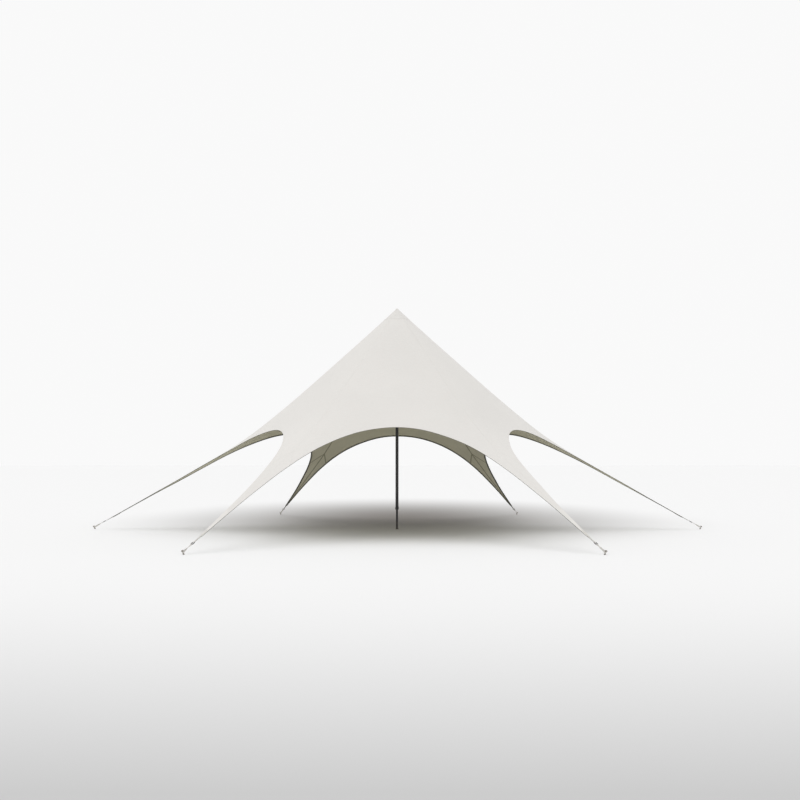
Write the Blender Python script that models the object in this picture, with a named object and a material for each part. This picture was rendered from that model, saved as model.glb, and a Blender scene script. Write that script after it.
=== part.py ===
"""A six-pointed star canopy: one cloth peak on a centre pole, pulled out to six ground pegs.

Lengths are in metres and +Z is up. The origin is the middle of the pole foot's underside.
Arm 1 points along +X, and the others follow every 60 degrees, anticlockwise from above.
"""
import cmath
import math

import bmesh
import bpy
import numpy as np
from mathutils import Matrix, Vector

# Driving dimensions of the canopy
ARMS = 6
PEG_CIRCLE = 6.000           # pole axis to the point where a strap meets its peg
PEAK_HEIGHT = 4.368          # cloth's rim at the top of the pole
RIM_RADIUS = 0.036           # hole in the cloth at the peak
AIM_HEIGHT = 0.036           # height at which an arm's line meets its peg
CLOTH_END = 5.640            # radius at which an arm's cloth ends
ROLL_HALF_WIDTH = 1.700      # half the width of the cloth roll that a gore is cut from
CLOTH = 0.004                # cloth, thicker than the real one so that it is a sound solid
WEBBING = 0.004
WEBBING_WIDTH = 0.030
CAP_CLOTH = 0.003
GAP = 0.0003                 # between pieces that touch

# Net of taut strings that finds the cloth's shape
ROWS = 28                    # from the peak's rim out to the arch
COLUMNS = 28                 # from one ridge round to the next
HOOP_TENSION = 0.124         # strings round the peak, against 1 for the strings that run down
HOOP_RISE = 51.0             # how much the hoops tighten towards the arch
HOOP_POWER = 9.5
EDGE_TENSION = 0.927         # webbing along the arch
EDGE_RISE = 2.6              # how much it tightens towards the arch's crown

# Knots of that net that the solids keep
SOLID_ROWS = [0, 2, 5, 8, 11, 14, 17, 20, 22, 24, 26, 27]
SOLID_COLUMNS = [0, 1, 2] + list(range(4, COLUMNS - 2, 2)) + [COLUMNS - 2, COLUMNS - 1, COLUMNS]
CAP_ROW = 2                  # row that the cap over the peak reaches
CAP_COLUMN_STEP = 4          # columns from one side of the cap's cone to the next
CAP_ROOM = 4 * GAP           # under the cap, whose flat sides cut inside the rounder cloth

# Pole
POLE_RADIUS = 0.030
POLE_WALL = 0.0025
FOOT_TUBE_RADIUS = 0.021
SPLICE_HEIGHT = 0.440        # where the thick tube starts
FOOT_TUBE_TOP = 0.620
FOOT_THICKNESS = 0.012
PLUG_LENGTH = 0.050          # each plug's reach into its tube
COLLAR_RADIUS = 0.034
COLLAR_LENGTH = 0.055
HEAD_SHARE = 0.35            # the head's width, as a share of the way from the rim to the cap's hem
HEAD_RIM = 0.012
TUBE_SIDES = 32

# Corner fittings, along an arm's line
LINK_CENTRE = 0.185          # from the end of the cloth to the middle of the link
LINK_LENGTH = 0.050
LINK_WIDTH = 0.046
LINK_CORNER = 0.010
LINK_WIRE = 0.004
LINK_CORNER_STEPS = 3
TAPE_WIDTH = 0.026
TAPE = 0.0025                # one layer of tape
EYE_SIDES = 12
EYE_ROOM = 3 * GAP           # between an eye's flat sides and the round bar inside it
LINK_TAIL_SHARE = 0.25       # flat tape beside the link, as a share of a strap's length
PEG_TAIL_SHARE = 0.30        # upright tape beside the peg
TWIST_STEPS = 6
PEG_RADIUS = 0.011
PEG_HEAD_RADIUS = 0.019
PEG_HEAD = 0.010
PEG_ABOVE_STRAP = 0.020      # strap's line to the underside of the peg's head
PEG_SIDES = 16

SECTOR = math.tau / ARMS
SMOOTH_ANGLE = math.radians(35)
UPWARD = Vector((0.0, 0.0, 1.0))
SIDEWAYS = Vector((0.0, 1.0, 0.0))    # across arm 1


# Materials

def material(name, colour, roughness, metallic=0.0):
    """Principled material with one colour."""
    made = bpy.data.materials.new(name)
    made.use_nodes = True
    made.diffuse_color = (*colour, 1.0)
    shader = made.node_tree.nodes["Principled BSDF"]
    shader.inputs["Base Color"].default_value = (*colour, 1.0)
    shader.inputs["Roughness"].default_value = roughness
    shader.inputs["Metallic"].default_value = metallic
    return made


# Objects and simple solids

def finish_mesh(mesh, name, look):
    """Turn a bmesh into a smooth-shaded mesh with its faces pointing out."""
    bmesh.ops.recalc_face_normals(mesh, faces=mesh.faces)
    data = bpy.data.meshes.new(name)
    mesh.to_mesh(data)
    mesh.free()
    data.materials.append(look)
    data.shade_smooth()
    data.set_sharp_from_angle(angle=SMOOTH_ANGLE)
    return data


def place(name, data, turn=0.0):
    """Put a mesh in the scene, turned about the pole."""
    piece = bpy.data.objects.new(name, data)
    piece.rotation_euler.z = turn
    bpy.context.scene.collection.objects.link(piece)
    return piece


def place_round_pole(name, data):
    """One copy of a mesh for each arm, or for each gore between two arms."""
    for number in range(ARMS):
        place(f"{name}_{number + 1}", data, number * SECTOR)


def circle(radius, height, sides):
    angles = np.arange(sides) * math.tau / sides
    return np.stack([radius * np.cos(angles), radius * np.sin(angles), np.full(sides, height)], axis=1)


def stacked_rings(rings, capped):
    """Solid through rings of points: closed by end faces, or joined from the last to the first."""
    mesh = bmesh.new()
    loops = [[mesh.verts.new(point) for point in ring] for ring in rings]
    pairs = list(zip(loops, loops[1:]))
    if capped:
        mesh.faces.new(loops[0])
        mesh.faces.new(loops[-1])
    else:
        pairs.append((loops[-1], loops[0]))
    for one, other in pairs:
        for k in range(len(one)):
            mesh.faces.new([one[k - 1], one[k], other[k], other[k - 1]])
    return mesh


def turned(outline, sides, capped):
    """Solid of revolution from an outline of (radius, height) points."""
    return stacked_rings([circle(radius, height, sides) for radius, height in outline], capped)


def cut_away(mesh, point, normal):
    """Remove what lies on the side that the normal points to, and close the cut."""
    everything = mesh.verts[:] + mesh.edges[:] + mesh.faces[:]
    bmesh.ops.bisect_plane(mesh, geom=everything, dist=1e-6, plane_co=point, plane_no=normal,
                           clear_outer=True)
    open_edges = [edge for edge in mesh.edges if edge.is_boundary]
    bmesh.ops.holes_fill(mesh, edges=open_edges, sides=0)


# The stretched cloth

def strings(row, column):
    """Neighbours of a knot, each with the tension of the string to it."""
    yield row - 1, column, 1.0
    if row < ROWS:
        yield row + 1, column, 1.0
    for side in (-1, 1):
        if row < ROWS:
            tension = HOOP_TENSION * (1 + HOOP_RISE * (row / ROWS) ** HOOP_POWER)
        else:
            from_crown = abs(2 * (column + side / 2) / COLUMNS - 1)
            tension = EDGE_TENSION * (1 + EDGE_RISE * (1 - from_crown))
        yield row, column + side, tension


def stretch_cloth():
    """Points of the whole cloth, rows from the rim outwards and columns round the pole.

    Each string pulls in proportion to its length, so where the knots come to rest solves
    two linear systems, one in plan and one for the heights. One sector is solved, with
    plan points as complex numbers: a knot beyond a ridge is one of the sector's own
    knots, turned by one arm.
    """
    knots = ROWS * COLUMNS
    turn = cmath.exp(1j * SECTOR)
    rim = RIM_RADIUS * np.exp(1j * SECTOR * np.arange(COLUMNS) / COLUMNS)
    plan_matrix = np.zeros((knots, knots), complex)
    height_matrix = np.zeros((knots, knots))
    plan_pull = np.zeros(knots, complex)
    height_pull = np.zeros(knots)
    for row in range(1, ROWS + 1):
        for column in range(COLUMNS):
            knot = (row - 1) * COLUMNS + column
            if (row, column) == (ROWS, 0):
                plan_matrix[knot, knot] = height_matrix[knot, knot] = 1
                plan_pull[knot] = PEG_CIRCLE
                height_pull[knot] = AIM_HEIGHT
                continue
            for to_row, to_column, tension in strings(row, column):
                arms_past, to_column = divmod(to_column, COLUMNS)
                turned_by = turn ** arms_past
                plan_matrix[knot, knot] += tension
                height_matrix[knot, knot] += tension
                if to_row == 0:
                    plan_pull[knot] += tension * turned_by * rim[to_column]
                    height_pull[knot] += tension * PEAK_HEIGHT
                else:
                    other = (to_row - 1) * COLUMNS + to_column
                    plan_matrix[knot, other] -= tension * turned_by
                    height_matrix[knot, other] -= tension
    plan = np.linalg.solve(plan_matrix, plan_pull).reshape(ROWS, COLUMNS)
    height = np.linalg.solve(height_matrix, height_pull).reshape(ROWS, COLUMNS)
    plan = np.vstack([rim, plan])
    height = np.vstack([np.full(COLUMNS, PEAK_HEIGHT), height])
    plan = np.hstack([plan * turn ** arm for arm in range(ARMS)])
    height = np.hstack([height] * ARMS)
    return np.stack([plan.real, plan.imag, height], axis=-1)


def normals_of(points):
    """Upward unit normals at the knots of a cloth that goes all the way round."""
    before = np.roll(points, 1, axis=1)
    after = np.roll(points, -1, axis=1)
    inner = np.concatenate([points[:1], points[:-1]])
    outer = np.concatenate([points[1:], points[-1:]])
    normals = np.cross(outer - inner, after - before)
    return normals / np.linalg.norm(normals, axis=-1, keepdims=True)


def distance_to_line(point, line):
    """Least distance from a point to a chain of points."""
    starts = line[:-1]
    steps = line[1:] - starts
    share = np.sum((point - starts) * steps, axis=1) / np.sum(steps * steps, axis=1)
    nearest = starts + np.clip(share, 0, 1)[:, None] * steps
    return np.min(np.linalg.norm(point - nearest, axis=1))


def add_hem_row(points):
    """Insert a row of knots one webbing's width in from the arch."""
    last, edge = points[-2], points[-1]
    hem = np.empty_like(edge)
    for column in range(len(edge)):
        start = column // COLUMNS * COLUMNS
        arch = np.roll(edge, -start, axis=0)[:COLUMNS + 1]
        inset = WEBBING_WIDTH / distance_to_line(last[column], arch)
        hem[column] = edge[column] + inset * (last[column] - edge[column])
    return np.concatenate([points[:-1], [hem, edge]])


class Cloth:
    """The knots that the solids use, with their normals, and an arm's line."""

    def __init__(self):
        net = stretch_cloth()
        net = np.concatenate([net[SOLID_ROWS], net[-1:]])
        self.points = add_hem_row(net)
        self.normals = normals_of(self.points)
        self.hem_row = len(self.points) - 2
        self.cap_row = SOLID_ROWS.index(CAP_ROW)
        tip = Vector(self.points[-1, 0])
        last = Vector(self.points[self.hem_row - 1, 0])
        self.line = (tip - last).normalized()
        self.end = tip - self.line * ((tip.x - CLOTH_END) / self.line.x)

    def patch(self, rows, columns):
        """Knots and normals of a patch, with columns counted round the pole."""
        wrapped = [column % (ARMS * COLUMNS) for column in columns]
        return self.points[rows][:, wrapped], self.normals[rows][:, wrapped]


def side_gap(knots, side):
    """Move a patch's first or last column off its ridge by half a gap."""
    column = 0 if side < 0 else -1
    angle = 0.0 if side < 0 else SECTOR
    away = -side * GAP / 2 * np.array([-math.sin(angle), math.cos(angle), 0.0])
    knots[:, column] += away


def sheet_solid(knots, normals, low, high):
    """Closed sheet between two offsets from a patch of knots."""
    mesh = bmesh.new()
    rows, columns = knots.shape[:2]
    under, over = [
        [[mesh.verts.new(knots[r, c] + offset * normals[r, c]) for c in range(columns)]
         for r in range(rows)] for offset in (low, high)]
    for layer in (under, over):
        for r in range(rows - 1):
            for c in range(columns - 1):
                corners = [layer[r][c], layer[r + 1][c], layer[r + 1][c + 1], layer[r][c + 1]]
                if c >= (columns - 1) // 2:
                    corners = corners[1:] + corners[:1]
                mesh.faces.new([corners[0], corners[1], corners[2]])
                mesh.faces.new([corners[0], corners[2], corners[3]])
    for r in range(rows - 1):
        for c in (0, columns - 1):
            mesh.faces.new([under[r][c], under[r + 1][c], over[r + 1][c], over[r][c]])
    for c in range(columns - 1):
        for r in (0, rows - 1):
            mesh.faces.new([under[r][c], under[r][c + 1], over[r][c + 1], over[r][c]])
    return mesh


def seam_plane(gore_angle, side, gap_side):
    """Plane of the seam along one edge of a gore's cloth roll.

    The roll runs down the middle of the gore, so its edges are two upright planes.
    """
    across = side * Vector((-math.sin(gore_angle), math.cos(gore_angle), 0.0))
    return across * (ROLL_HALF_WIDTH + gap_side * GAP / 2), across


def gore_mesh(cloth, look):
    """Cloth between arms 1 and 2, as wide as its roll."""
    knots, normals = cloth.patch(range(len(cloth.points)), SOLID_COLUMNS)
    side_gap(knots, -1)
    side_gap(knots, 1)
    mesh = sheet_solid(knots, normals, -CLOTH / 2, CLOTH / 2)
    for side in (-1, 1):
        point, across = seam_plane(SECTOR / 2, side, -1)
        cut_away(mesh, point, across)
    return finish_mesh(mesh, "canopy_gore", look)


def arm_mesh(cloth, look):
    """Cloth of arm 1 beyond the two gores that it continues, down to its end."""
    middle = SOLID_COLUMNS.index(COLUMNS // 2)
    columns = [-column for column in SOLID_COLUMNS[middle:0:-1]] + SOLID_COLUMNS[:middle + 1]
    knots, normals = cloth.patch(range(len(cloth.points)), columns)
    mesh = sheet_solid(knots, normals, -CLOTH / 2, CLOTH / 2)
    for gore_angle, side in ((SECTOR / 2, -1), (-SECTOR / 2, 1)):
        point, across = seam_plane(gore_angle, side, 1)
        cut_away(mesh, point, -across)
    cut_away(mesh, cloth.end, cloth.line)
    return finish_mesh(mesh, "arm_panel", look)


def webbing_mesh(cloth, look):
    """Webbing under the cloth's edge, round the arch between arms 1 and 2."""
    knots, normals = cloth.patch([cloth.hem_row, cloth.hem_row + 1], SOLID_COLUMNS)
    side_gap(knots, -1)
    side_gap(knots, 1)
    top = -CLOTH / 2 - GAP
    mesh = sheet_solid(knots, normals, top - WEBBING, top)
    other_arm = Matrix.Rotation(SECTOR, 3, "Z")
    cut_away(mesh, cloth.end, cloth.line)
    cut_away(mesh, other_arm @ cloth.end, other_arm @ cloth.line)
    return finish_mesh(mesh, "arch_webbing", look)


# Cap and head at the peak

def peak_ring(cloth, row, offset):
    """Ring of points at some knots of a row, off the cloth along its normals."""
    columns = range(0, ARMS * COLUMNS, CAP_COLUMN_STEP)
    points, normals = cloth.patch([row], columns)
    return points[0] + offset * normals[0]


def cap_mesh(cloth, look):
    """Cone of doubled cloth over the peak, closed at the tip."""
    inside = CLOTH / 2 + CAP_ROOM
    outside = inside + CAP_CLOTH
    slope = (PEAK_HEIGHT - cloth.points[cloth.cap_row, 0, 2]) / (
        cloth.points[cloth.cap_row, 0, 0] - RIM_RADIUS)
    tip_radius = CAP_CLOTH
    rim = peak_ring(cloth, 0, outside)
    tip_height = rim[0, 2] + slope * (rim[0, 0] - tip_radius)
    tip = circle(tip_radius, tip_height, len(rim))
    rings = [peak_ring(cloth, 0, inside), peak_ring(cloth, cloth.cap_row, inside),
             peak_ring(cloth, cloth.cap_row, outside), rim, tip]
    return finish_mesh(stacked_rings(rings, capped=True), "peak_cap", look)


def head_mesh(cloth, look):
    """Cone that spreads the pole's push under the peak, with a plug for the tube."""
    inside = -CLOTH / 2 - GAP
    rim = peak_ring(cloth, 0, inside)
    wide = rim + HEAD_SHARE * (peak_ring(cloth, cloth.cap_row, inside) - rim)
    base = wide - (0.0, 0.0, HEAD_RIM)
    under = min(base[:, 2]) - GAP
    plug_radius = POLE_RADIUS - POLE_WALL - GAP
    sides = len(rim)
    rings = [circle(plug_radius, under - PLUG_LENGTH, sides), circle(plug_radius, under, sides),
             base, wide, rim]
    return finish_mesh(stacked_rings(rings, capped=True), "pole_head", look), under


# Pole

def tube_mesh(name, radius, bottom, top, look):
    bore = radius - POLE_WALL
    outline = [(radius, bottom), (radius, top), (bore, top), (bore, bottom)]
    return finish_mesh(turned(outline, TUBE_SIDES, capped=False), name, look)


def collar_mesh(look):
    """Ring that the thin tube slides through, with a spigot inside the thick one."""
    bore = FOOT_TUBE_RADIUS + GAP
    spigot = POLE_RADIUS - POLE_WALL - GAP
    shoulder = SPLICE_HEIGHT - GAP
    outline = [(bore, shoulder - COLLAR_LENGTH), (COLLAR_RADIUS, shoulder - COLLAR_LENGTH),
               (COLLAR_RADIUS, shoulder), (spigot, shoulder),
               (spigot, shoulder + PLUG_LENGTH), (bore, shoulder + PLUG_LENGTH)]
    return finish_mesh(turned(outline, TUBE_SIDES, capped=False), "pole_collar", look)


def foot_mesh(look):
    """Round foot with a plug inside the thin tube."""
    plug = FOOT_TUBE_RADIUS - POLE_WALL - GAP
    outline = [(POLE_RADIUS, 0.0), (POLE_RADIUS, FOOT_THICKNESS), (plug, FOOT_THICKNESS),
               (plug, FOOT_THICKNESS + PLUG_LENGTH)]
    return finish_mesh(turned(outline, TUBE_SIDES, capped=True), "pole_foot", look)


# Corner fittings

def tape_section(mesh, centre, side, across):
    """Four corners of a doubled tape, whose width lies across."""
    half = TAPE_WIDTH / 2
    corners = ((-TAPE, -half), (TAPE, -half), (TAPE, half), (-TAPE, half))
    return [mesh.verts.new(centre + side * up + across * out) for up, out in corners]


def join_rings(mesh, one, other):
    for k in range(4):
        mesh.faces.new([one[k - 1], one[k], other[k], other[k - 1]])


def tape_loop(mesh, centre, along, across, hole, end):
    """Eye of folded tape with a tail, and return the four corners at the tail's open end.

    The tail leaves the eye along one direction, and the tape's width lies across it.
    """
    side = across.cross(along)
    rings = []
    for radius in (hole, hole + TAPE):
        for half_width in (-TAPE_WIDTH / 2, TAPE_WIDTH / 2):
            ring = []
            for k in range(EYE_SIDES):
                angle = math.tau * (k - 0.5) / EYE_SIDES
                spoke = along * math.cos(angle) + side * math.sin(angle)
                ring.append(mesh.verts.new(centre + across * half_width + spoke * radius))
            rings.append(ring)
    inner_low, inner_high, outer_low, outer_high = rings
    tail = tape_section(mesh, centre + along * end, side, across)
    for k in range(EYE_SIDES):
        after = (k + 1) % EYE_SIDES
        mesh.faces.new([inner_low[k], inner_high[k], inner_high[after], inner_low[after]])
        mesh.faces.new([inner_low[k], inner_low[after], outer_low[after], outer_low[k]])
        mesh.faces.new([inner_high[k], outer_high[k], outer_high[after], inner_high[after]])
        if k > 0:
            mesh.faces.new([outer_low[k], outer_low[after], outer_high[after], outer_high[k]])
    mouth = [outer_low[0], outer_low[1], outer_high[1], outer_high[0]]
    join_rings(mesh, mouth, tail)
    return tail


def link_bar(cloth, side):
    """Middle of the link's inner or outer bar."""
    return cloth.end + cloth.line * (LINK_CENTRE + side * LINK_LENGTH / 2)


def peg_point(cloth):
    """Point of the peg's axis on the arm's line."""
    return cloth.end + cloth.line * ((PEG_CIRCLE - CLOTH_END) / cloth.line.x)


def tongue_mesh(cloth, look):
    """Folded tape from the end of the cloth to an eye round the link's inner bar."""
    bar = link_bar(cloth, -1)
    length = (bar - cloth.end).length - GAP
    mesh = bmesh.new()
    tail = tape_loop(mesh, bar, -cloth.line, SIDEWAYS, LINK_WIRE + EYE_ROOM, length)
    mesh.faces.new(tail)
    return finish_mesh(mesh, "corner_tongue", look)


def link_curve(cloth, look):
    """Rectangular wire link, flat in the arm's line."""
    centre = cloth.end + cloth.line * LINK_CENTRE
    curve = bpy.data.curves.new("corner_link", "CURVE")
    curve.dimensions = "3D"
    curve.bevel_depth = LINK_WIRE
    curve.bevel_resolution = 2
    spline = curve.splines.new("POLY")
    spline.points.add(4 * (LINK_CORNER_STEPS + 1) - 1)
    spline.use_cyclic_u = True
    place_in_spline = 0
    for quarter, (x_sign, y_sign) in enumerate(((1, 1), (-1, 1), (-1, -1), (1, -1))):
        for step in range(LINK_CORNER_STEPS + 1):
            angle = math.pi / 2 * (quarter + step / LINK_CORNER_STEPS)
            x = x_sign * (LINK_LENGTH / 2 - LINK_CORNER) + LINK_CORNER * math.cos(angle)
            y = y_sign * (LINK_WIDTH / 2 - LINK_CORNER) + LINK_CORNER * math.sin(angle)
            point = centre + cloth.line * x + SIDEWAYS * y
            spline.points[place_in_spline].co = (*point, 1.0)
            place_in_spline += 1
    curve.materials.append(look)
    return curve


def strap_mesh(cloth, look):
    """Tape from the link's outer bar to its eye round the peg, with a quarter twist between."""
    along = cloth.line
    bar = link_bar(cloth, 1)
    peg = peg_point(cloth)
    reach = (peg - bar).length
    flat_tail = LINK_TAIL_SHARE * reach
    peg_tail = PEG_TAIL_SHARE * reach
    mesh = bmesh.new()
    ring = tape_loop(mesh, bar, along, SIDEWAYS, LINK_WIRE + EYE_ROOM, flat_tail)
    for step in range(1, TWIST_STEPS):
        share = step / TWIST_STEPS
        centre = bar + along * (flat_tail + share * (reach - flat_tail - peg_tail))
        across = Matrix.Rotation(share * math.pi / 2, 3, along) @ SIDEWAYS
        next_ring = tape_section(mesh, centre, across.cross(along), across)
        join_rings(mesh, ring, next_ring)
        ring = next_ring
    across = Matrix.Rotation(math.pi / 2, 3, along) @ SIDEWAYS
    last = tape_loop(mesh, peg, -along, across, PEG_RADIUS + EYE_ROOM, peg_tail)
    join_rings(mesh, ring, [last[1], last[0], last[3], last[2]])
    return finish_mesh(mesh, "ground_strap", look)


def peg_mesh(cloth, look):
    """Round stake that leans away from the pole, square to its strap, cut at the ground."""
    lean = cloth.line.cross(SIDEWAYS)
    outline = [(PEG_RADIUS, -2 * AIM_HEIGHT), (PEG_RADIUS, PEG_ABOVE_STRAP),
               (PEG_HEAD_RADIUS, PEG_ABOVE_STRAP), (PEG_HEAD_RADIUS, PEG_ABOVE_STRAP + PEG_HEAD)]
    mesh = turned(outline, PEG_SIDES, capped=True)
    leaning = UPWARD.rotation_difference(lean).to_matrix().to_4x4()
    bmesh.ops.transform(mesh, matrix=Matrix.Translation(peg_point(cloth)) @ leaning, verts=mesh.verts)
    cut_away(mesh, Vector(), -UPWARD)
    return finish_mesh(mesh, "peg", look)


# Assembly

def build_canopy(cloth):
    gore_cloth = material("gore_cloth", (0.76, 0.74, 0.70), 0.80)
    arm_cloth = material("arm_cloth", (0.74, 0.72, 0.68), 0.80)
    edge_webbing = material("edge_webbing", (0.16, 0.16, 0.12), 0.85)
    cap_cloth = material("cap_cloth", (0.62, 0.61, 0.57), 0.80)
    place_round_pole("canopy_gore", gore_mesh(cloth, gore_cloth))
    place_round_pole("arm_panel", arm_mesh(cloth, arm_cloth))
    place_round_pole("arch_webbing", webbing_mesh(cloth, edge_webbing))
    place("peak_cap", cap_mesh(cloth, cap_cloth))


def build_pole(cloth):
    paint = material("pole_paint", (0.03, 0.03, 0.035), 0.45, 0.3)
    casting = material("pole_fitting", (0.05, 0.05, 0.05), 0.55, 0.2)
    head, tube_top = head_mesh(cloth, casting)
    place("pole_head", head)
    place("pole_upper", tube_mesh("pole_upper", POLE_RADIUS, SPLICE_HEIGHT, tube_top - GAP, paint))
    place("pole_collar", collar_mesh(casting))
    foot_top = FOOT_THICKNESS + GAP
    place("pole_lower", tube_mesh("pole_lower", FOOT_TUBE_RADIUS, foot_top, FOOT_TUBE_TOP, paint))
    place("pole_foot", foot_mesh(casting))


def build_corners(cloth):
    tongue_tape = material("tongue_tape", (0.55, 0.55, 0.52), 0.85)
    link_steel = material("link_steel", (0.06, 0.06, 0.06), 0.40, 0.8)
    strap_tape = material("strap_tape", (0.60, 0.60, 0.58), 0.85)
    peg_steel = material("peg_steel", (0.07, 0.065, 0.06), 0.55, 0.7)
    place_round_pole("corner_tongue", tongue_mesh(cloth, tongue_tape))
    place_round_pole("corner_link", link_curve(cloth, link_steel))
    place_round_pole("ground_strap", strap_mesh(cloth, strap_tape))
    place_round_pole("peg", peg_mesh(cloth, peg_steel))


def main():
    for piece in list(bpy.data.objects):
        bpy.data.objects.remove(piece, do_unlink=True)
    cloth = Cloth()
    build_canopy(cloth)
    build_pole(cloth)
    build_corners(cloth)


main()
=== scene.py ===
# %% [markdown]
# # Dressing a star canopy
#
# A star canopy is one large piece of sewn cloth. A pole in the middle pushes it up, and six
# pegs pull its arms down and out. Its construction model is already there as plain solids, so
# this lesson makes what a visitor sees and touches: cloth, webbing, tape, thread, steel and
# paint. Each step says what the piece is on the real canopy, and why it is made as it is.

# %% Load the frame
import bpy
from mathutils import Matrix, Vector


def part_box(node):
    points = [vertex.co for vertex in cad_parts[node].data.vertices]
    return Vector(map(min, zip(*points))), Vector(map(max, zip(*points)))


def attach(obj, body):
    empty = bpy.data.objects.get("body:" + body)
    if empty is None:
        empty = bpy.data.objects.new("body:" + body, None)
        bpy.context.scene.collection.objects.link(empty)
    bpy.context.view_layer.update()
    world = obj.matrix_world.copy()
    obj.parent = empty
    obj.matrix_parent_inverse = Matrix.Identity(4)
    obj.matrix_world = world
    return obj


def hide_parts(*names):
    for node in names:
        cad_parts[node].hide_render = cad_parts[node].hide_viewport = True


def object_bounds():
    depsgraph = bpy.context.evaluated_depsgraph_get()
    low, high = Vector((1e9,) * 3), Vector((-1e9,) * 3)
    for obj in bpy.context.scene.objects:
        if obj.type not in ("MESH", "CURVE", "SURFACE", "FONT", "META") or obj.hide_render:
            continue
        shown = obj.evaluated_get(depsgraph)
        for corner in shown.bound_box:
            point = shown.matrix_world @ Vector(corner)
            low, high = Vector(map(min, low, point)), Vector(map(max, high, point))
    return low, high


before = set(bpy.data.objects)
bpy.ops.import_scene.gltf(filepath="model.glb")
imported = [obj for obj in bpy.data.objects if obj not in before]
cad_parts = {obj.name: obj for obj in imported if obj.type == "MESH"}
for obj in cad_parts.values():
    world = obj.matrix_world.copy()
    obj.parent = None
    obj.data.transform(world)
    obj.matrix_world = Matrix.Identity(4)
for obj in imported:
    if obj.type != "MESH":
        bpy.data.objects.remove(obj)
frame_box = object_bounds()
print(f"{len(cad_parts)} solids loaded")

# %% [markdown]
# Besides Blender's own modules the lesson uses numpy, which solves the stretched shape, and a
# BVH tree, which finds the nearest point of the cloth for whatever is laid on it.

# %% Modules
import cmath
import math

import bmesh
import bpy
import numpy as np
from mathutils import Matrix, Vector
from mathutils.bvhtree import BVHTree

frame_size = frame_box[1] - frame_box[0]
print(f"the solids fill {frame_size.x:.2f} x {frame_size.y:.2f} x {frame_size.z:.2f} m")

# %% [markdown]
# ## Where the viewer stands
#
# The photograph was taken from chest height, eighteen and a half metres from the pole, and it
# looks slightly up. A camera is placed by its eye point and two small angles. The lens follows
# from how wide the canopy is in the frame, so perspective matches and nothing has to be shifted
# or stretched.

# %% Camera
EYE = Vector((0.153, -18.478, 1.293))
LOOK_UP = math.radians(3.92)
LOOK_LEFT = math.radians(0.29)
LENS = 41.74


def add_object(name, data):
    """Put mesh, light or camera data in the scene."""
    made = bpy.data.objects.new(name, data)
    bpy.context.scene.collection.objects.link(made)
    return made


camera = add_object("camera", bpy.data.cameras.new("camera"))
camera.data.lens = LENS
camera.location = EYE
camera.rotation_euler = (math.radians(90) + LOOK_UP, 0.0, LOOK_LEFT)
bpy.context.scene.camera = camera
print(f"camera {EYE.length:.1f} m from the pole's foot")

# %% [markdown]
# ## Building materials from nodes
#
# Every finish in this lesson is a network of shader nodes, with no pictures. Adding nodes by
# hand takes four lines each: make it, choose its option, fill its sockets, link it. These
# helpers do it in one, so that a material reads like a recipe.

# %% Node helpers
def node(tree, kind, inputs=None, **options):
    """Add a node, choose its options, and set or link its inputs by name or number."""
    made = tree.nodes.new("ShaderNode" + kind)
    for option, value in options.items():
        setattr(made, option, value)
    for socket, value in (inputs or {}).items():
        if isinstance(value, bpy.types.NodeSocket):
            tree.links.new(value, made.inputs[socket])
        else:
            made.inputs[socket].default_value = value
    return made


def feed(tree, socket, value):
    """Link a value into a socket."""
    tree.links.new(value, socket)


def calc(tree, operation, *values):
    """Math node on numbers and sockets, and what it gives."""
    return node(tree, "Math", dict(enumerate(values)), operation=operation).outputs[0]


def product(tree, first, *others):
    """Product of two or more numbers and sockets."""
    for other in others:
        first = calc(tree, "MULTIPLY", first, other)
    return first


def ramp(tree, value, low, high, to_low=0.0, to_high=1.0):
    """Smooth step from one value to another while the input goes from low to high."""
    inputs = {0: value, 1: low, 2: high, 3: to_low, 4: to_high}
    return node(tree, "MapRange", inputs, interpolation_type="SMOOTHSTEP").outputs[0]


def blend_colours(tree, share, one, other):
    """Mix of two colours, as a colour socket."""
    return node(tree, "Mix", {0: share, 6: one, 7: other}, data_type="RGBA").outputs[2]


def axes(tree, place):
    """The X, Y and Z of a place, as sockets."""
    return node(tree, "SeparateXYZ", {0: place}).outputs


def world_place(tree):
    """Where the point being painted lies, in metres."""
    return node(tree, "NewGeometry").outputs["Position"]


print("node helpers ready")

# %% [markdown]
# A new material already holds a Principled BSDF. Its constant settings are typed into the
# shader's own sockets, and only what varies over a surface comes from nodes.

# %% Materials
def new_material(name, roughness, **constants):
    """Material with its shader's plain numbers set, and its tree and shader inputs."""
    made = bpy.data.materials.new(name)
    made.use_nodes = True
    sockets = made.node_tree.nodes["Principled BSDF"].inputs
    sockets["Roughness"].default_value = roughness
    for constant, value in constants.items():
        sockets[constant.replace("_", " ")].default_value = value
    return made, made.node_tree, sockets


floor_look, tree, shader = new_material("pale_floor", 0.9)
print("first material:", floor_look.name)

# %% [markdown]
# ## A pale floor
#
# The canopy stands in front of a white backdrop. Its floor darkens a little towards the viewer,
# and turns pale again behind them: this darkening is painted shade, in place of light that falls
# off towards the viewer. One huge sheet makes the floor. Its paint carries the painted shade,
# measured from the pole's foot, so nothing depends on the camera.

# %% Floor
FLOOR_HALF_SIDE = 600.0
FLOOR_PALE = (0.852, 0.852, 0.852, 1.0)
# The shaded colour is painted shade, in place of light that falls off towards the viewer.
FLOOR_SHADED = (0.534, 0.534, 0.534, 1.0)
FADE_START = 0.0                 # the floor darkens from here towards the viewer
FADE_END = -14.75
FADE_POWER = 5.9
FADE_GONE = (-15.0, -21.0)       # and turns pale again here

corners = [(x * FLOOR_HALF_SIDE, y * FLOOR_HALF_SIDE, 0.0)
           for x, y in ((-1, -1), (1, -1), (1, 1), (-1, 1))]
floor_mesh = bpy.data.meshes.new("floor")
floor_mesh.from_pydata(corners, [], [(0, 1, 2, 3)])
floor_mesh.materials.append(floor_look)
add_object("floor", floor_mesh)

# Painted shade: the floor's colour darkens towards the viewer and turns pale again behind them.
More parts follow.
